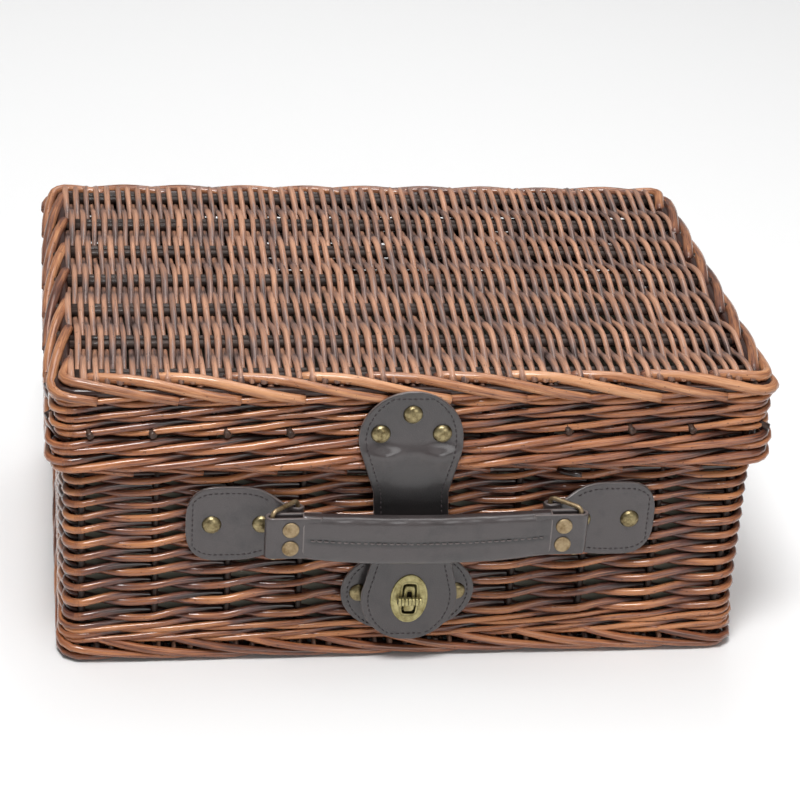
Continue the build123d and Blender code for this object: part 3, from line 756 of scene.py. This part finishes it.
def lining():
    """Cloth box inside the wicker, open at the top, with soft ripples and a floor."""
    edge = Wall(LINING_HIGH[0] - LINING_FACE, LINING_HIGH[1] - LINING_FACE, 5.0)
    around = np.linspace(0, edge.length, 320, endpoint=False)
    levels = np.linspace(LINING_HIGH[2], LINING_LOW[2] + 1.3, 26)
    rings = []
    for z in levels:
        ripple = 0.45 * np.sin(around / 17 + z / 23) + 0.35 * np.sin(around / 9.3 - z / 31) - 0.55
        rings.append(edge.at(around, ripple, z)[0])
    for inset in (0.985, 0.9, 0.75, 0.55, 0.3, 0.05):
        ring = edge.at(around, -1.0, levels[-1])[0] * [inset, inset, 1]
        ring[:, 2] += 0.25 * np.sin(ring[:, 0] / 21) * np.cos(ring[:, 1] / 17)
        rings.append(ring)
    n, count = len(around), len(rings)
    faces = quads(count, n)
    faces.append([(count - 1) * n + k for k in range(n)])
    piece = build("lining", np.vstack(rings), faces, lining_cloth, "basket")
    thick = piece.modifiers.new("thickness", "SOLIDIFY")
    thick.thickness, thick.offset = 0.8 * MM, 0.0
    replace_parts(piece, "body_lining")
    hem = Rods(10)
    hem.add(edge.at(around, -0.9, LINING_HIGH[2] - 0.2)[0], 1.15, 0.5, 0.5, closed=True)
    roll = hem.piece("lining_hem", lining_cloth, "basket", slot="lining_cloth")
    size = 2 * np.array(edge.half)


lining()

# ---------------------------------------------------------------- wicker lid
lid_wall = Wall(LID_OUT[0] - WALL / 2, LID_OUT[1] - WALL / 2)
lid_stakes = lid_wall.stakes(11, 7)
rim_wall = Wall(RIM_OUT[0] - 6.5, RIM_OUT[1] - 6.5)
rim_stakes = rim_wall.stakes(11, 7)

upright = Rods()
for s in lid_stakes:
    foot = lid_wall.at(np.full(6, s), 0, np.linspace(126, TOP - 6, 6))[0]
    upright.add(foot, STAKE_R, random.uniform(0.3, 0.6), 0.3, STAKE_SIDE)
    if abs(foot[0][0] - HANDLE[0]) < 34 and foot[0][1] < 0:
        continue  # the hasp hides this stake's cut end
    shift = s + random.uniform(2, 7)
    out, height = np.array([-1.0, 2.5, 5.4, 7.2]), np.array([148.2, 147.4, 146.3, 145.6])
    upright.add(lid_wall.at(shift + np.arange(4) * 0.8, out, height)[0], STAKE_R, 0.5, 0.6)
upright.piece("stakes_of_lid", stake_willow, "lid", "lid_stakes")

rods = Rods()
for z in (143.8, 152.6, 161.2, 168.0):
    hoop(rods, lid_wall, -3.6, z, 3.0, rub=0.35)
for z in (148.2, 157.0, 165.4):
    wale(rods, lid_wall, lid_stakes, z, 1.8, 3.6, 3.1, 0.42)
rods.piece("wale_of_lid", wall_willow, "lid", "lid_wall_weave")

rods = Rods(10)
for z in (138.1, 128.3):
    wale(rods, rim_wall, rim_stakes, z, 2.2, 4.3, 3.3, 0.6)
for out, z, radius in ((-2.4, 124.9, 2.5), (-6.9, 125.3, 2.6), (-4.4, 133.2, 3.2)):
    hoop(rods, rim_wall, out, z, radius, rub=0.4)
rods.piece("rim_of_lid", rim_willow, "lid", "lid_rim_border")

TOP_KEYS = [(-2, -5.6, 173.2), (4, -4.6, 174.6), (24, -0.6, 175.2), (44, 3.0, 172.4), (64, 5.4, 168.6),
            (80, 6.0, 166.0)]
rods = Rods(10)
border(rods, lid_wall, 34, TOP_KEYS, 2.95, 6, 0.58, side_shade=0.42)
# The two inner hoops get a near-black tone: painted shade for the gap between the border and the panel.
for out, z in ((-3.4, 172.4), (1.6, 169.2)):
    hoop(rods, lid_wall, out, z, 2.8, 0.12, 0.1)
rods.piece("border_of_top", border_willow, "lid", "lid_top_border")

low, high = box("lid_top_weave")
rods, sticks = Rods(), Rods()
panel(rods, sticks, low, high, (low[2] + high[2]) / 2, 118, 1.84, 2.5, -2.0)
rods.piece("weavers_of_lid", panel_willow, "lid", "lid_top_weave")
sticks.piece("sticks_of_lid", stick_willow, "lid", "lid_sticks")

# ---------------------------------------------------------------- hasp
HEAD_R, HEAD_Z = 28.5, box("hasp_strap")[1][2] - 28.5
WAIST = 20.75
BEND_Z = box("hasp_strap")[0][2]
TONGUE_R = -box("hasp_tongue")[0][2] + LOCK[2]
SLOT = (LOCK[2] - 10.3, LOCK[2] + 10.3, -4.6, 4.6)


def touch(x, z, centre_z, radius):
    """Where a line from (x, z) touches a circle on the right: (x, z)."""
    away = math.hypot(x, z - centre_z)
    side = 1 if z < centre_z else -1
    angle = math.atan2(z - centre_z, x) + side * math.acos(radius / away)
    return radius * math.cos(angle), centre_z + radius * math.sin(angle)


def hasp_half(z):
    """Half the hasp's width at height z: round head, waist behind the handle, round tongue."""
    head_x, head_z = touch(WAIST, 110, HEAD_Z, HEAD_R)
    tongue_x, tongue_z = touch(WAIST, BEND_Z, LOCK[2], TONGUE_R)
    if z >= head_z:
        return math.sqrt(max(HEAD_R**2 - (z - HEAD_Z) ** 2, 0.25))
    if z <= tongue_z:
        return math.sqrt(max(TONGUE_R**2 - (z - LOCK[2]) ** 2, 0.25))
    return float(np.interp(z, [tongue_z, BEND_Z, 110, head_z], [tongue_x, WAIST, WAIST, head_x]))


def lean(z):
    """How far the hasp's head stands to the left of its tongue at height z."""
    return np.interp(z, [BEND_Z, HEAD_Z], [0.0, -5.0])


HASP_RIVETS = head_places("hasp_rivets")


def hasp_place(z, x):
    """The hasp's surface: proud over the lid's rim, sinking behind the handle, dented round its rivets."""
    depth = 2.9 * np.exp(-(((z - 103) / 15) ** 2)) - 1.5 * np.exp(-(((z - 135.5) / 6) ** 2))
    curl = 0.0007 * x**2 * np.interp(z, [60, 80, 120, 150], [0.6, 1.6, 1.2, 0.5])
    dent = 0.0
    for rivet_x, rivet_z in HASP_RIVETS:
        away = np.hypot(x - rivet_x, z - rivet_z)
        dent = dent + 0.5 * np.exp(-((away / 6.5) ** 2))
        if rivet_x:
            below = z - rivet_z + 12.5
            spread = np.where(below > 0, 3.6, 13.0)
            dent = dent - 3.0 * np.exp(-(((x - rivet_x * 0.9) / 7.5) ** 2) - (below / spread) ** 2)
    y = -(STRAP_FACE - LEATHER / 2) + depth + curl + dent
    return np.column_stack([x + lean(z), y, z]), np.tile([0.0, -1.0, 0.0], (len(x), 1))


def hasp_painted_shade(z):
    """Painted shade on the hasp at height z: darkest where the handle lies against it."""
    return float(np.interp(z, [80, 100, 110, 122, 133, 145, 160], [0.2, 1.0, 1.0, 0.6, 0.1, 0.15, 0.4]))


NEAR = np.array([0.03, 0.12, 0.4, 0.9, 1.6, 2.6, 4.0, 6.0])  # rows near a leaf's end


def spaced_rows(low, high, extra=(), step=1.5):
    """Rows from low to high, close together near both ends, and through the extra places."""
    inner = np.arange(low + 8, high - 8, step)
    return np.unique(np.round(np.concatenate([low + NEAR, high - NEAR, inner, extra]), 4))


def outline_line(half_of, place, low, high, inset):
    """A line inside a leaf's outline, at an even distance from it, on its front: points and outward ways."""
    z = low + inset + (high - low - 2 * inset) * (0.5 - 0.5 * np.cos(np.linspace(0, math.pi, 160)))
    right = np.array([max(half_of(level) - inset, 0.0) for level in z])
    xs = np.concatenate([right, -right[::-1], right[:1]])
    zs = np.concatenate([z, z[::-1], z[:1]])
    points, outward = place(zs, xs)
    return points + outward * (LEATHER / 2), outward


def sewn_leaf(names, half_of, place, low, high, inset, body, replaced,
              extra=(), step=1.5, hole=None, fold=None):
    """An upright leaf and the stitches inside its outline, in place of some CAD nodes: both pieces."""
    z_rows = spaced_rows(low, high, extra, step)
    halves = np.array([half_of(z) for z in z_rows])
    piece = leaf(names[0], z_rows, -halves, halves, place, body, hole, fold)
    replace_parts(piece, *replaced)
    seam, way = outline_line(half_of, place, low, high, inset)
    return piece, stitches(names[1], seam, way, body)


hasp_pieces = sewn_leaf(
    ("hasp_leather", "hasp_stitches"), hasp_half, hasp_place, LOCK[2] - TONGUE_R, HEAD_Z + HEAD_R, 4.0, None,
    ("hasp_strap", "hasp_tongue"), SLOT[:2], hole=SLOT, fold=hasp_painted_shade)
for piece in hasp_pieces:
    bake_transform(piece)


domes("hasp_domes", "hasp_rivets", -STRAP_FACE + 0.3, 16.7, "lid", lean)

# ---------------------------------------------------------------- turn lock
def oval(angle, half_x, half_z, power=2.0):
    """Points of an oval, or of a rounded rectangle when power is high."""
    c, s = np.cos(angle), np.sin(angle)
    reach = (np.abs(c) ** power + np.abs(s) ** power) ** (-1 / power)
    return half_x * c * reach, half_z * s * reach


def eyelet():
    """Oval plate with a raised edge round it and round its slot."""
    angle = np.linspace(0, 2 * math.pi, 64, endpoint=False)
    outer = oval(angle, 10.5, 15.5)
    inner = oval(angle, 3.9, 9.6, 7.0)
    profile = [  # (share of the way from outer to inner edge, rise, painted shade)
        (0, -0.2, 0.8), (0, 0.45, 0.3), (0.05, 0.85, 0), (0.12, 1.0, 0), (0.2, 0.82, 0.2), (0.3, 0.86, 0),
        (0.62, 0.9, 0), (0.78, 0.84, 0.45), (0.86, 1.05, 0), (0.96, 1.05, 0), (1.0, 0.8, 0.6), (1.0, -2.1, 1)]
    base = STRAP_FACE - 0.2
    points, shade = [], []
    for share, rise, dark in profile:
        x = outer[0] * (1 - share) + inner[0] * share
        z = outer[1] * (1 - share) + inner[1] * share
        points.append(np.column_stack([x + LOCK[0], np.full_like(x, -base - rise), z + LOCK[2]]))
        shade += [dark] * len(angle)
    faces = quads(len(profile), len(angle), closed=True)
    piece = build("eyelet_plate", np.vstack(points), faces, plate_brass, "hasp",
                  darkened(shade), outwards=True)
    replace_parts(piece, "lock_eyelet")


def loft(name, sections, material, body, dark=None, edge=None):
    """A closed skin through sections of equal size, with flat ends."""
    n, count = len(sections[0]), len(sections)
    faces = quads(count, n) + [list(range(n))[::-1], [(count - 1) * n + k for k in range(n)]]
    marks = None
    # dark is painted shade: on the mark's X for brass, and on its Y for leather when an edge is given, with the
    # edge on X.
    if dark is not None:
        shade = np.broadcast_to(np.reshape(dark, (count, -1)), (count, n)).ravel()
        rim = shade if edge is None else np.repeat(edge, n)
        marks = {"hide": np.stack([rim, shade * (edge is not None), 0 * shade], axis=1)}
    return build(name, np.vstack(sections), faces, material, body, marks, outwards=True)


def turn_bar():
    """Ribbed bar across the slot, on a round pivot."""
    front, back = STRAP_FACE + 5.4, STRAP_FACE + 1.9
    angle = np.linspace(0, 2 * math.pi, 28, endpoint=False)
    sections, dark = [], []
    for x in np.linspace(-6.9, 6.9, 85):
        rib = abs(math.sin(math.pi * (x + 6.9) / 1.97))
        size = 0.8 + 0.2 * min(1, rib * 1.7)
        size *= min(1.0, 0.72 + (6.9 - abs(x)) * 0.7)
        y, z = oval(angle, (front - back) / 2 * size, 2.35 * size, 3.2)
        sections.append(np.column_stack([np.full_like(y, LOCK[0] + x), -(front + back) / 2 + y, LOCK[2] + z]))
        # Painted shade between the ribs.
        dark.append(1 - min(1, rib * 2.2))
    piece = loft("ribbed_bar", sections, plate_brass, "lock_bar", dark)
    pivot = np.array([LOCK[0], -back, LOCK[2]])
    points, faces, shade = lathe([(1.4, -4.5, 0.5), (1.4, 1, 0.5)], pivot, (0, -1, 0))
    build("bar_pivot", points, faces, plate_brass, "lock_bar", outwards=True)
    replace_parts(piece, "turn_bar")


def lock_post():
    """Block that comes up through the slot, with a small sunk face near its top."""
    low, high = box("lock_post")
    half = (high - low) / 2 * [1.14, 1, 1.17]
    angle = np.linspace(0, 2 * math.pi, 40, endpoint=False)
    sections, dark = [], []
    # shade is painted shade: darkest in the sunk face.
    for depth, size, shade in (
        (0, 1, 0.6), (6.6, 1, 0.2), (7.0, 0.95, 0), (7.25, 0.86, 0), (7.3, 0.5, 0), (6.8, 0.42, 1),
    ):
        x, z = oval(angle, half[0] * size, half[2] * size, 6.0)
        z = z + half[2] * 0.42 * max(0, 0.8 - size)
        sections.append(np.column_stack([x + LOCK[0], np.full_like(x, high[1] - depth), z + LOCK[2]]))
        dark.append(shade)
    piece = loft("post_block", sections, plate_brass, "basket", dark)
    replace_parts(piece, "lock_post")


eyelet()
turn_bar()
lock_post()

LENS_LOW, LENS_HIGH = box("lock_tab")
LENS_HALF = (LENS_HIGH - LENS_LOW) / 2


def lens_half(z):
    """Half the width of the leaf-shaped tab at height z."""
    return LENS_HALF[0] * math.sqrt(max(1 - ((z - LOCK[2]) / LENS_HALF[2]) ** 2, 0.0004))


def lens_place(z, x):
    y = -(TAB_FACE - LEATHER / 2) + 0.25 * np.sin(x / 7) * np.cos(z / 9)
    return np.column_stack([x + LOCK[0], y, z]), np.tile([0.0, -1.0, 0.0], (len(x), 1))


sewn_leaf(("lock_tab_leather", "lock_tab_stitches"), lens_half, lens_place, LENS_LOW[2], LENS_HIGH[2], 3.6,
          "basket", ["lock_tab"])
domes("lock_tab_domes", "lock_tab_rivets", -TAB_FACE, 14.4, "basket")

# ---------------------------------------------------------------- side tabs
WIRE_IN, WIRE_OUT = 70.0, 84.8  # the rings' two wires, from the handle's middle
WIRE_Y, FOLD_Y = 137.0, -HANDLE[1]


class Spine:
    """A strip's middle line seen from above, as (distance from the handle's middle, distance forwards)."""

    def __init__(self, keys, side, flip=1):
        self.line = curve(keys, 8)
        self.side, self.flip = side, flip
        step = np.linalg.norm(np.diff(self.line, axis=0), axis=1)
        self.gone = np.concatenate([[0], np.cumsum(step)])
        tangent = unit(np.gradient(self.line, axis=0))
        self.normal = np.column_stack([-tangent[:, 1], tangent[:, 0]]) * flip
        self.length = self.gone[-1]

    def reach(self, s):
        return np.interp(s, self.gone, self.line[:, 0])

    def place(self, s, z):
        point = [np.interp(s, self.gone, self.line[:, k]) for k in (0, 1)]
        normal = unit(np.column_stack([np.interp(s, self.gone, self.normal[:, k]) for k in (0, 1)]))
        x = HANDLE[0] + self.side * point[0]
        outward = np.column_stack([self.side * normal[:, 0], -normal[:, 1], np.zeros(len(z))])
        return np.column_stack([x, -point[1], z]), outward


def arc_keys(centre, radius, start, stop, count):
    """Key points on an arc in a spine's plane, with angles in degrees."""
    return [(centre[0] + radius * math.cos(math.radians(a)), centre[1] + radius * math.sin(math.radians(a)))
            for a in np.linspace(start, stop, count)]


TAB_LOW, TAB_HIGH = box("tab_right")
TAB_REACH = TAB_HIGH[0] - HANDLE[0]
TAB_HALF = (TAB_HIGH[2] - TAB_LOW[2]) / 2
TAB_Z = (TAB_LOW[2] + TAB_HIGH[2]) / 2
TAB_MID = TAB_FACE - LEATHER / 2


def tab_half(reach):
    """Half the tab's height: a round outer end, narrowing to the fold round the ring."""
    round_end = 19.0
    beyond = (reach - TAB_REACH + round_end) / round_end
    if beyond > 0:
        return TAB_HALF * max(1 - beyond**2.7, 0.0004) ** (1 / 2.7)
    return float(np.interp(reach, [70, 75, 80, 85, 90, 96, 102], [12.4, 13.2, 15.6, 18.6, 21.0, 22.5, 23.0]))


def side_tab(side, name):
    """Leather tab on the wall, folded round the ring's inner wire."""
    roll = LEATHER / 2 + 1.7
    keys = [(TAB_REACH, TAB_MID), (118, TAB_MID + 0.2), (104, TAB_MID + 0.1), (93, TAB_MID + 0.1),
            (86, TAB_MID + 0.9), (80, TAB_MID + 2.9), (75, TAB_MID + 4.9)]
    keys += arc_keys((WIRE_IN, WIRE_Y), roll, 80, 280, 9) + [(76, TAB_MID + 0.2), (82, TAB_MID - 0.1)]
    spine = Spine(keys, side, -1)
    fold_at = spine.gone[np.argmin(spine.line[:, 0])]
    s_rows = np.concatenate([NEAR, np.arange(8, spine.length - 2, 1.3), [spine.length - 0.5, spine.length]])
    halves = np.array([tab_half(spine.reach(s)) if s < fold_at else 11.8 for s in s_rows])

    piece = leaf(f"tab_leather_{name}", s_rows, TAB_Z - halves, TAB_Z + halves, spine.place, "basket")
    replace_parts(piece, f"tab_{name}")
    inset = 3.8
    s = inset + (60 - inset) * (0.5 - 0.5 * np.cos(np.linspace(0, math.pi, 120)))
    half = np.array([max(tab_half(spine.reach(v)) - inset, 0) for v in s])
    s, half = s[s < 46], half[s < 46]
    s_line = np.concatenate([s[::-1], s])
    z_line = np.concatenate([TAB_Z - half[::-1], TAB_Z + half])
    points, way = spine.place(s_line, z_line)
    stitches(f"tab_stitches_{name}", points + way * LEATHER / 2, way, "basket")


side_tab(-1, "left")
side_tab(1, "right")
domes("tab_domes", "tab_rivets", -TAB_FACE, 14.4, "basket")

# ---------------------------------------------------------------- handle
GRIP_LOW, GRIP_HIGH = box("handle_grip")
GRIP_HALF = (GRIP_HIGH - GRIP_LOW) / 2
GRIP_SAG = 3.6
GRIP_Z = (GRIP_LOW[2] + GRIP_HIGH[2]) / 2
STRAP_LOW, STRAP_HIGH = box("handle_strap")
END_REACH, FOLD_HALF, END_HALF = (STRAP_HIGH - STRAP_LOW) / 2


def handle_end(side, name):
    """The strap's folded end, two layers round the ring's outer wire."""
    roll = FOLD_HALF - LEATHER / 2
    turn_at = END_REACH - FOLD_HALF
    front, back = FOLD_Y + roll, FOLD_Y - roll
    flat = (58, 64, 70, 76, 81)
    keys = [(reach, front) for reach in flat] + arc_keys((turn_at, FOLD_Y), roll, 84, -84, 9)
    keys += [(reach, back) for reach in flat[::-1]]
    spine = Spine(keys, side, 1)
    s_rows = np.concatenate([np.arange(0, spine.length - 1, 1.4), [spine.length]])
    halves = END_HALF - 0.25 * np.exp(-((s_rows - spine.length / 2) / 4) ** 2)
    return leaf(f"handle_fold_{name}", s_rows, HANDLE[2] - halves, HANDLE[2] + halves, spine.place, "handle")


def handle_grip():
    """Padded sleeve with a sewn groove along its front, sagging a little between its ends."""
    count = 56
    angle = np.linspace(0, 2 * math.pi, count, endpoint=False)
    sections, dark, edge = [], [], []
    reach = GRIP_HALF[0]
    ends = np.array([0.0, 0.15, 0.5, 1.0, 2.0, 3.5])
    xs = np.concatenate([-reach + ends, np.linspace(-reach + 5, reach - 5, 90), (reach - ends)[::-1]])
    for x in xs:
        near = min(x + reach, reach - x)
        middle_share = 1 - (x / reach) ** 2
        half_z = END_HALF + 0.9 + (GRIP_HALF[2] - END_HALF - 0.9) * min(1, near / 30)
        full = (FOLD_HALF + 0.55 + 0.25 * min(1, near / 12)) * (0.93 + 0.07 * min(1, near / 0.9))
        y, z = oval(angle, full, half_z - 0.4 * max(0, 1 - near), 3.4)
        groove = 0.95 * np.exp(-((z + 0.6) / 1.2) ** 2) * (y < 0) * min(1, near / 5)
        crease = 0.16 * math.sin(x / 5.1) * np.cos(z / 4) + 0.1 * math.sin(x / 2.3 + 1)
        y = y + groove + crease * (y < 0)
        centre_z = GRIP_Z + 1.4 - GRIP_SAG * middle_share
        sections.append(np.column_stack([np.full(count, HANDLE[0] + x), -FOLD_Y + y, centre_z + z]))
        # Painted shade in the sewn groove.
        dark.append(np.clip(groove * 1.6, 0, 1))
        edge.append(float(near < 0.6))
    piece = loft("grip_sleeve", sections, hide, "handle", dark, edge)
    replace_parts(piece, "handle_grip", "handle_padding")
    x = np.linspace(-reach + 4, reach - 2, 60)
    seam_z = GRIP_Z + 0.8 - GRIP_SAG * (1 - (x / reach) ** 2)
    line = np.column_stack([HANDLE[0] + x, np.full_like(x, -FOLD_Y - FOLD_HALF - 0.25), seam_z])
    stitches("grip_stitches", line, np.array([0, -1.0, 0]), "handle", handle_thread, 3.6, 2.5, 0.42)


folds = [handle_end(-1, "left"), handle_end(1, "right")]
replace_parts(folds[0], "handle_strap")
handle_grip()
# Rows are (radius, height, painted shade): the shank and the faces under both caps are painted dark as shade.
CAP = [(0.3, -9.0, 0), (3.6, -8.9, 0), (4.4, -8.4, 0.2), (4.4, -7.95, 0.8), (1.5, -7.9, 0.8), (1.5, -0.1, 0.8),
       (4.55, -0.1, 1.0), (4.65, 0.3, 0.6), (4.5, 0.75, 0.1), (4.1, 1.05, 0), (3.2, 1.2, 0), (0.5, 1.28, 0)]
caps = {(x, -FOLD_Y - FOLD_HALF, z) for x, z in head_places("handle_rivets")}
turned("handle_caps", sorted(caps), (0, -1, 0), CAP, flat_brass, "handle", "handle_rivets")

# ---------------------------------------------------------------- hinge straps at the back
HINGE_REACH = LID_OUT[1] + 3.0 + LEATHER / 2


def hinge_strap(name):
    """One leather strap from the body's back wall, out over its border and up the lid."""
    low, high = box(f"body_hinge_leaf_{name}", f"lid_hinge_leaf_{name}")
    centre, half = (low[0] + high[0]) / 2, (high[0] - low[0]) / 2

    def shape(z):
        return np.interp(z, [70, 102, 108, 113, 117, 121, 180], [
            TAB_MID, TAB_MID, TAB_MID + 2.2, HINGE_REACH - 1.4, HINGE_REACH - 0.1, HINGE_REACH, HINGE_REACH])

    def place(z, x):
        slope = shape(z + 0.5) - shape(z - 0.5)
        outward = unit(np.column_stack([np.zeros(len(z)), np.ones(len(z)), -slope]))
        return np.column_stack([centre + x, shape(z), z]), outward

    def half_of(z):
        round_r = 9.0
        for edge in (low[2], high[2]):
            away = abs(z - edge)
            if away < round_r:
                return half - round_r + math.sqrt(max(round_r**2 - (round_r - away) ** 2, 0.2))
        return half

    names = f"hinge_strap_{name}", f"hinge_stitches_{name}"
    leaves = f"body_hinge_leaf_{name}", f"lid_hinge_leaf_{name}"
    for piece in sewn_leaf(names, half_of, place, low[2], high[2], 3.4, None, leaves, step=1.4):
        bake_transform(piece)


hinge_strap("left")
hinge_strap("right")
domes("body_hinge_domes", "body_hinge_rivets", TAB_FACE, 14.4, "basket")
domes("lid_hinge_domes", "lid_hinge_rivets", HINGE_REACH + LEATHER / 2, 16.0, "lid")

# ---------------------------------------------------------------- CAD pieces that are shown as they are
for node, material in (
    ("ring_left", flat_brass), ("ring_right", flat_brass), ("lock_base_plate", plate_brass),
    ("lock_eyelet_back", plate_brass), ("body_hinge_washers", flat_brass), ("lid_hinge_washers", flat_brass),
    ("hasp_washers", flat_brass), ("lock_tab_washers", flat_brass), ("tab_washers", flat_brass),
):
    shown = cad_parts[node]
    shown.data.materials.clear()
    shown.data.materials.append(material)

# ---------------------------------------------------------------- camera, floor and light
YAW, PITCH, ROLL = math.radians(9.49), math.radians(27.11), math.radians(3.93)
forward = Vector((math.sin(YAW) * math.cos(PITCH), math.cos(YAW) * math.cos(PITCH), -math.sin(PITCH)))
right = Vector((math.cos(YAW), -math.sin(YAW), 0))
upward = right.cross(forward)
rolled_right = right * math.cos(ROLL) + upward * math.sin(ROLL)
rolled_up = upward * math.cos(ROLL) - right * math.sin(ROLL)
CAMERA_AT = (-0.202, -1.275, 0.756)
camera = bpy.data.objects.new("camera", bpy.data.cameras.new("camera"))
camera.data.lens = 109.2
camera.data.sensor_width = 36.0
camera.data.clip_start, camera.data.clip_end = 0.05, 20
axes = Matrix((rolled_right, rolled_up, -forward)).transposed().to_4x4()
camera.matrix_world = Matrix.Translation(CAMERA_AT) @ axes
bpy.context.scene.collection.objects.link(camera)
bpy.context.scene.camera = camera

FLOOR_HALF, FLOOR_Z = 12, -0.0002
floor_mesh = bpy.data.meshes.new("floor")
corners = [(x * FLOOR_HALF, y * FLOOR_HALF, FLOOR_Z) for x, y in ((-1, -1), (1, -1), (1, 1), (-1, 1))]
floor_mesh.from_pydata(corners, [], [(0, 1, 2, 3)])
floor = bpy.data.objects.new("floor", floor_mesh)
floor_material, floor_tree, floor_shader = node_material("pale_floor")
floor_shader.inputs["Base Color"].default_value = (0.8, 0.8, 0.8, 1)
floor_shader.inputs["Roughness"].default_value = 0.9
floor_mesh.materials.append(floor_material)
bpy.context.scene.collection.objects.link(floor)


def softbox(name, place, target, size, watts):
    """A square area light that faces a target."""
    data = bpy.data.lights.new(name, "AREA")
    data.shape, data.size, data.energy = "SQUARE", size, watts
    lamp = bpy.data.objects.new(name, data)
    lamp.location = place
    lamp.rotation_mode = "QUATERNION"
    lamp.rotation_quaternion = (Vector(target) - Vector(place)).to_track_quat("-Z", "Y")
    bpy.context.scene.collection.objects.link(lamp)


softbox("key", (-0.35, -0.9, 2.1), (0, 0, 0.1), 0.6, 38)
softbox("overhead", (0, 0, 9), (0, 0, 0), 8.0, 360)
softbox("fill", (0.9, -2.2, 1.0), (0, 0, 0.1), 1.0, 10)
softbox("top_back", (0.2, 1.1, 1.9), (0, 0, 0.15), 0.9, 12)
WORLD_LIGHT, BACKDROP_EXTRA = 0.17, 0.25  # strength of the world's light, and what the backdrop shows on top
world = bpy.data.worlds.new("studio")
world.use_nodes = True
background = world.node_tree.nodes["Background"]
background.inputs["Color"].default_value = (1, 1, 1, 1)
seen = add_node(world.node_tree, "ShaderNodeLightPath").outputs["Is Camera Ray"]
backdrop = maths(world.node_tree, "MULTIPLY_ADD", seen, BACKDROP_EXTRA, WORLD_LIGHT)
world.node_tree.links.new(backdrop, background.inputs["Strength"])
bpy.context.scene.world = world
bpy.context.scene.view_settings.view_transform = "Standard"
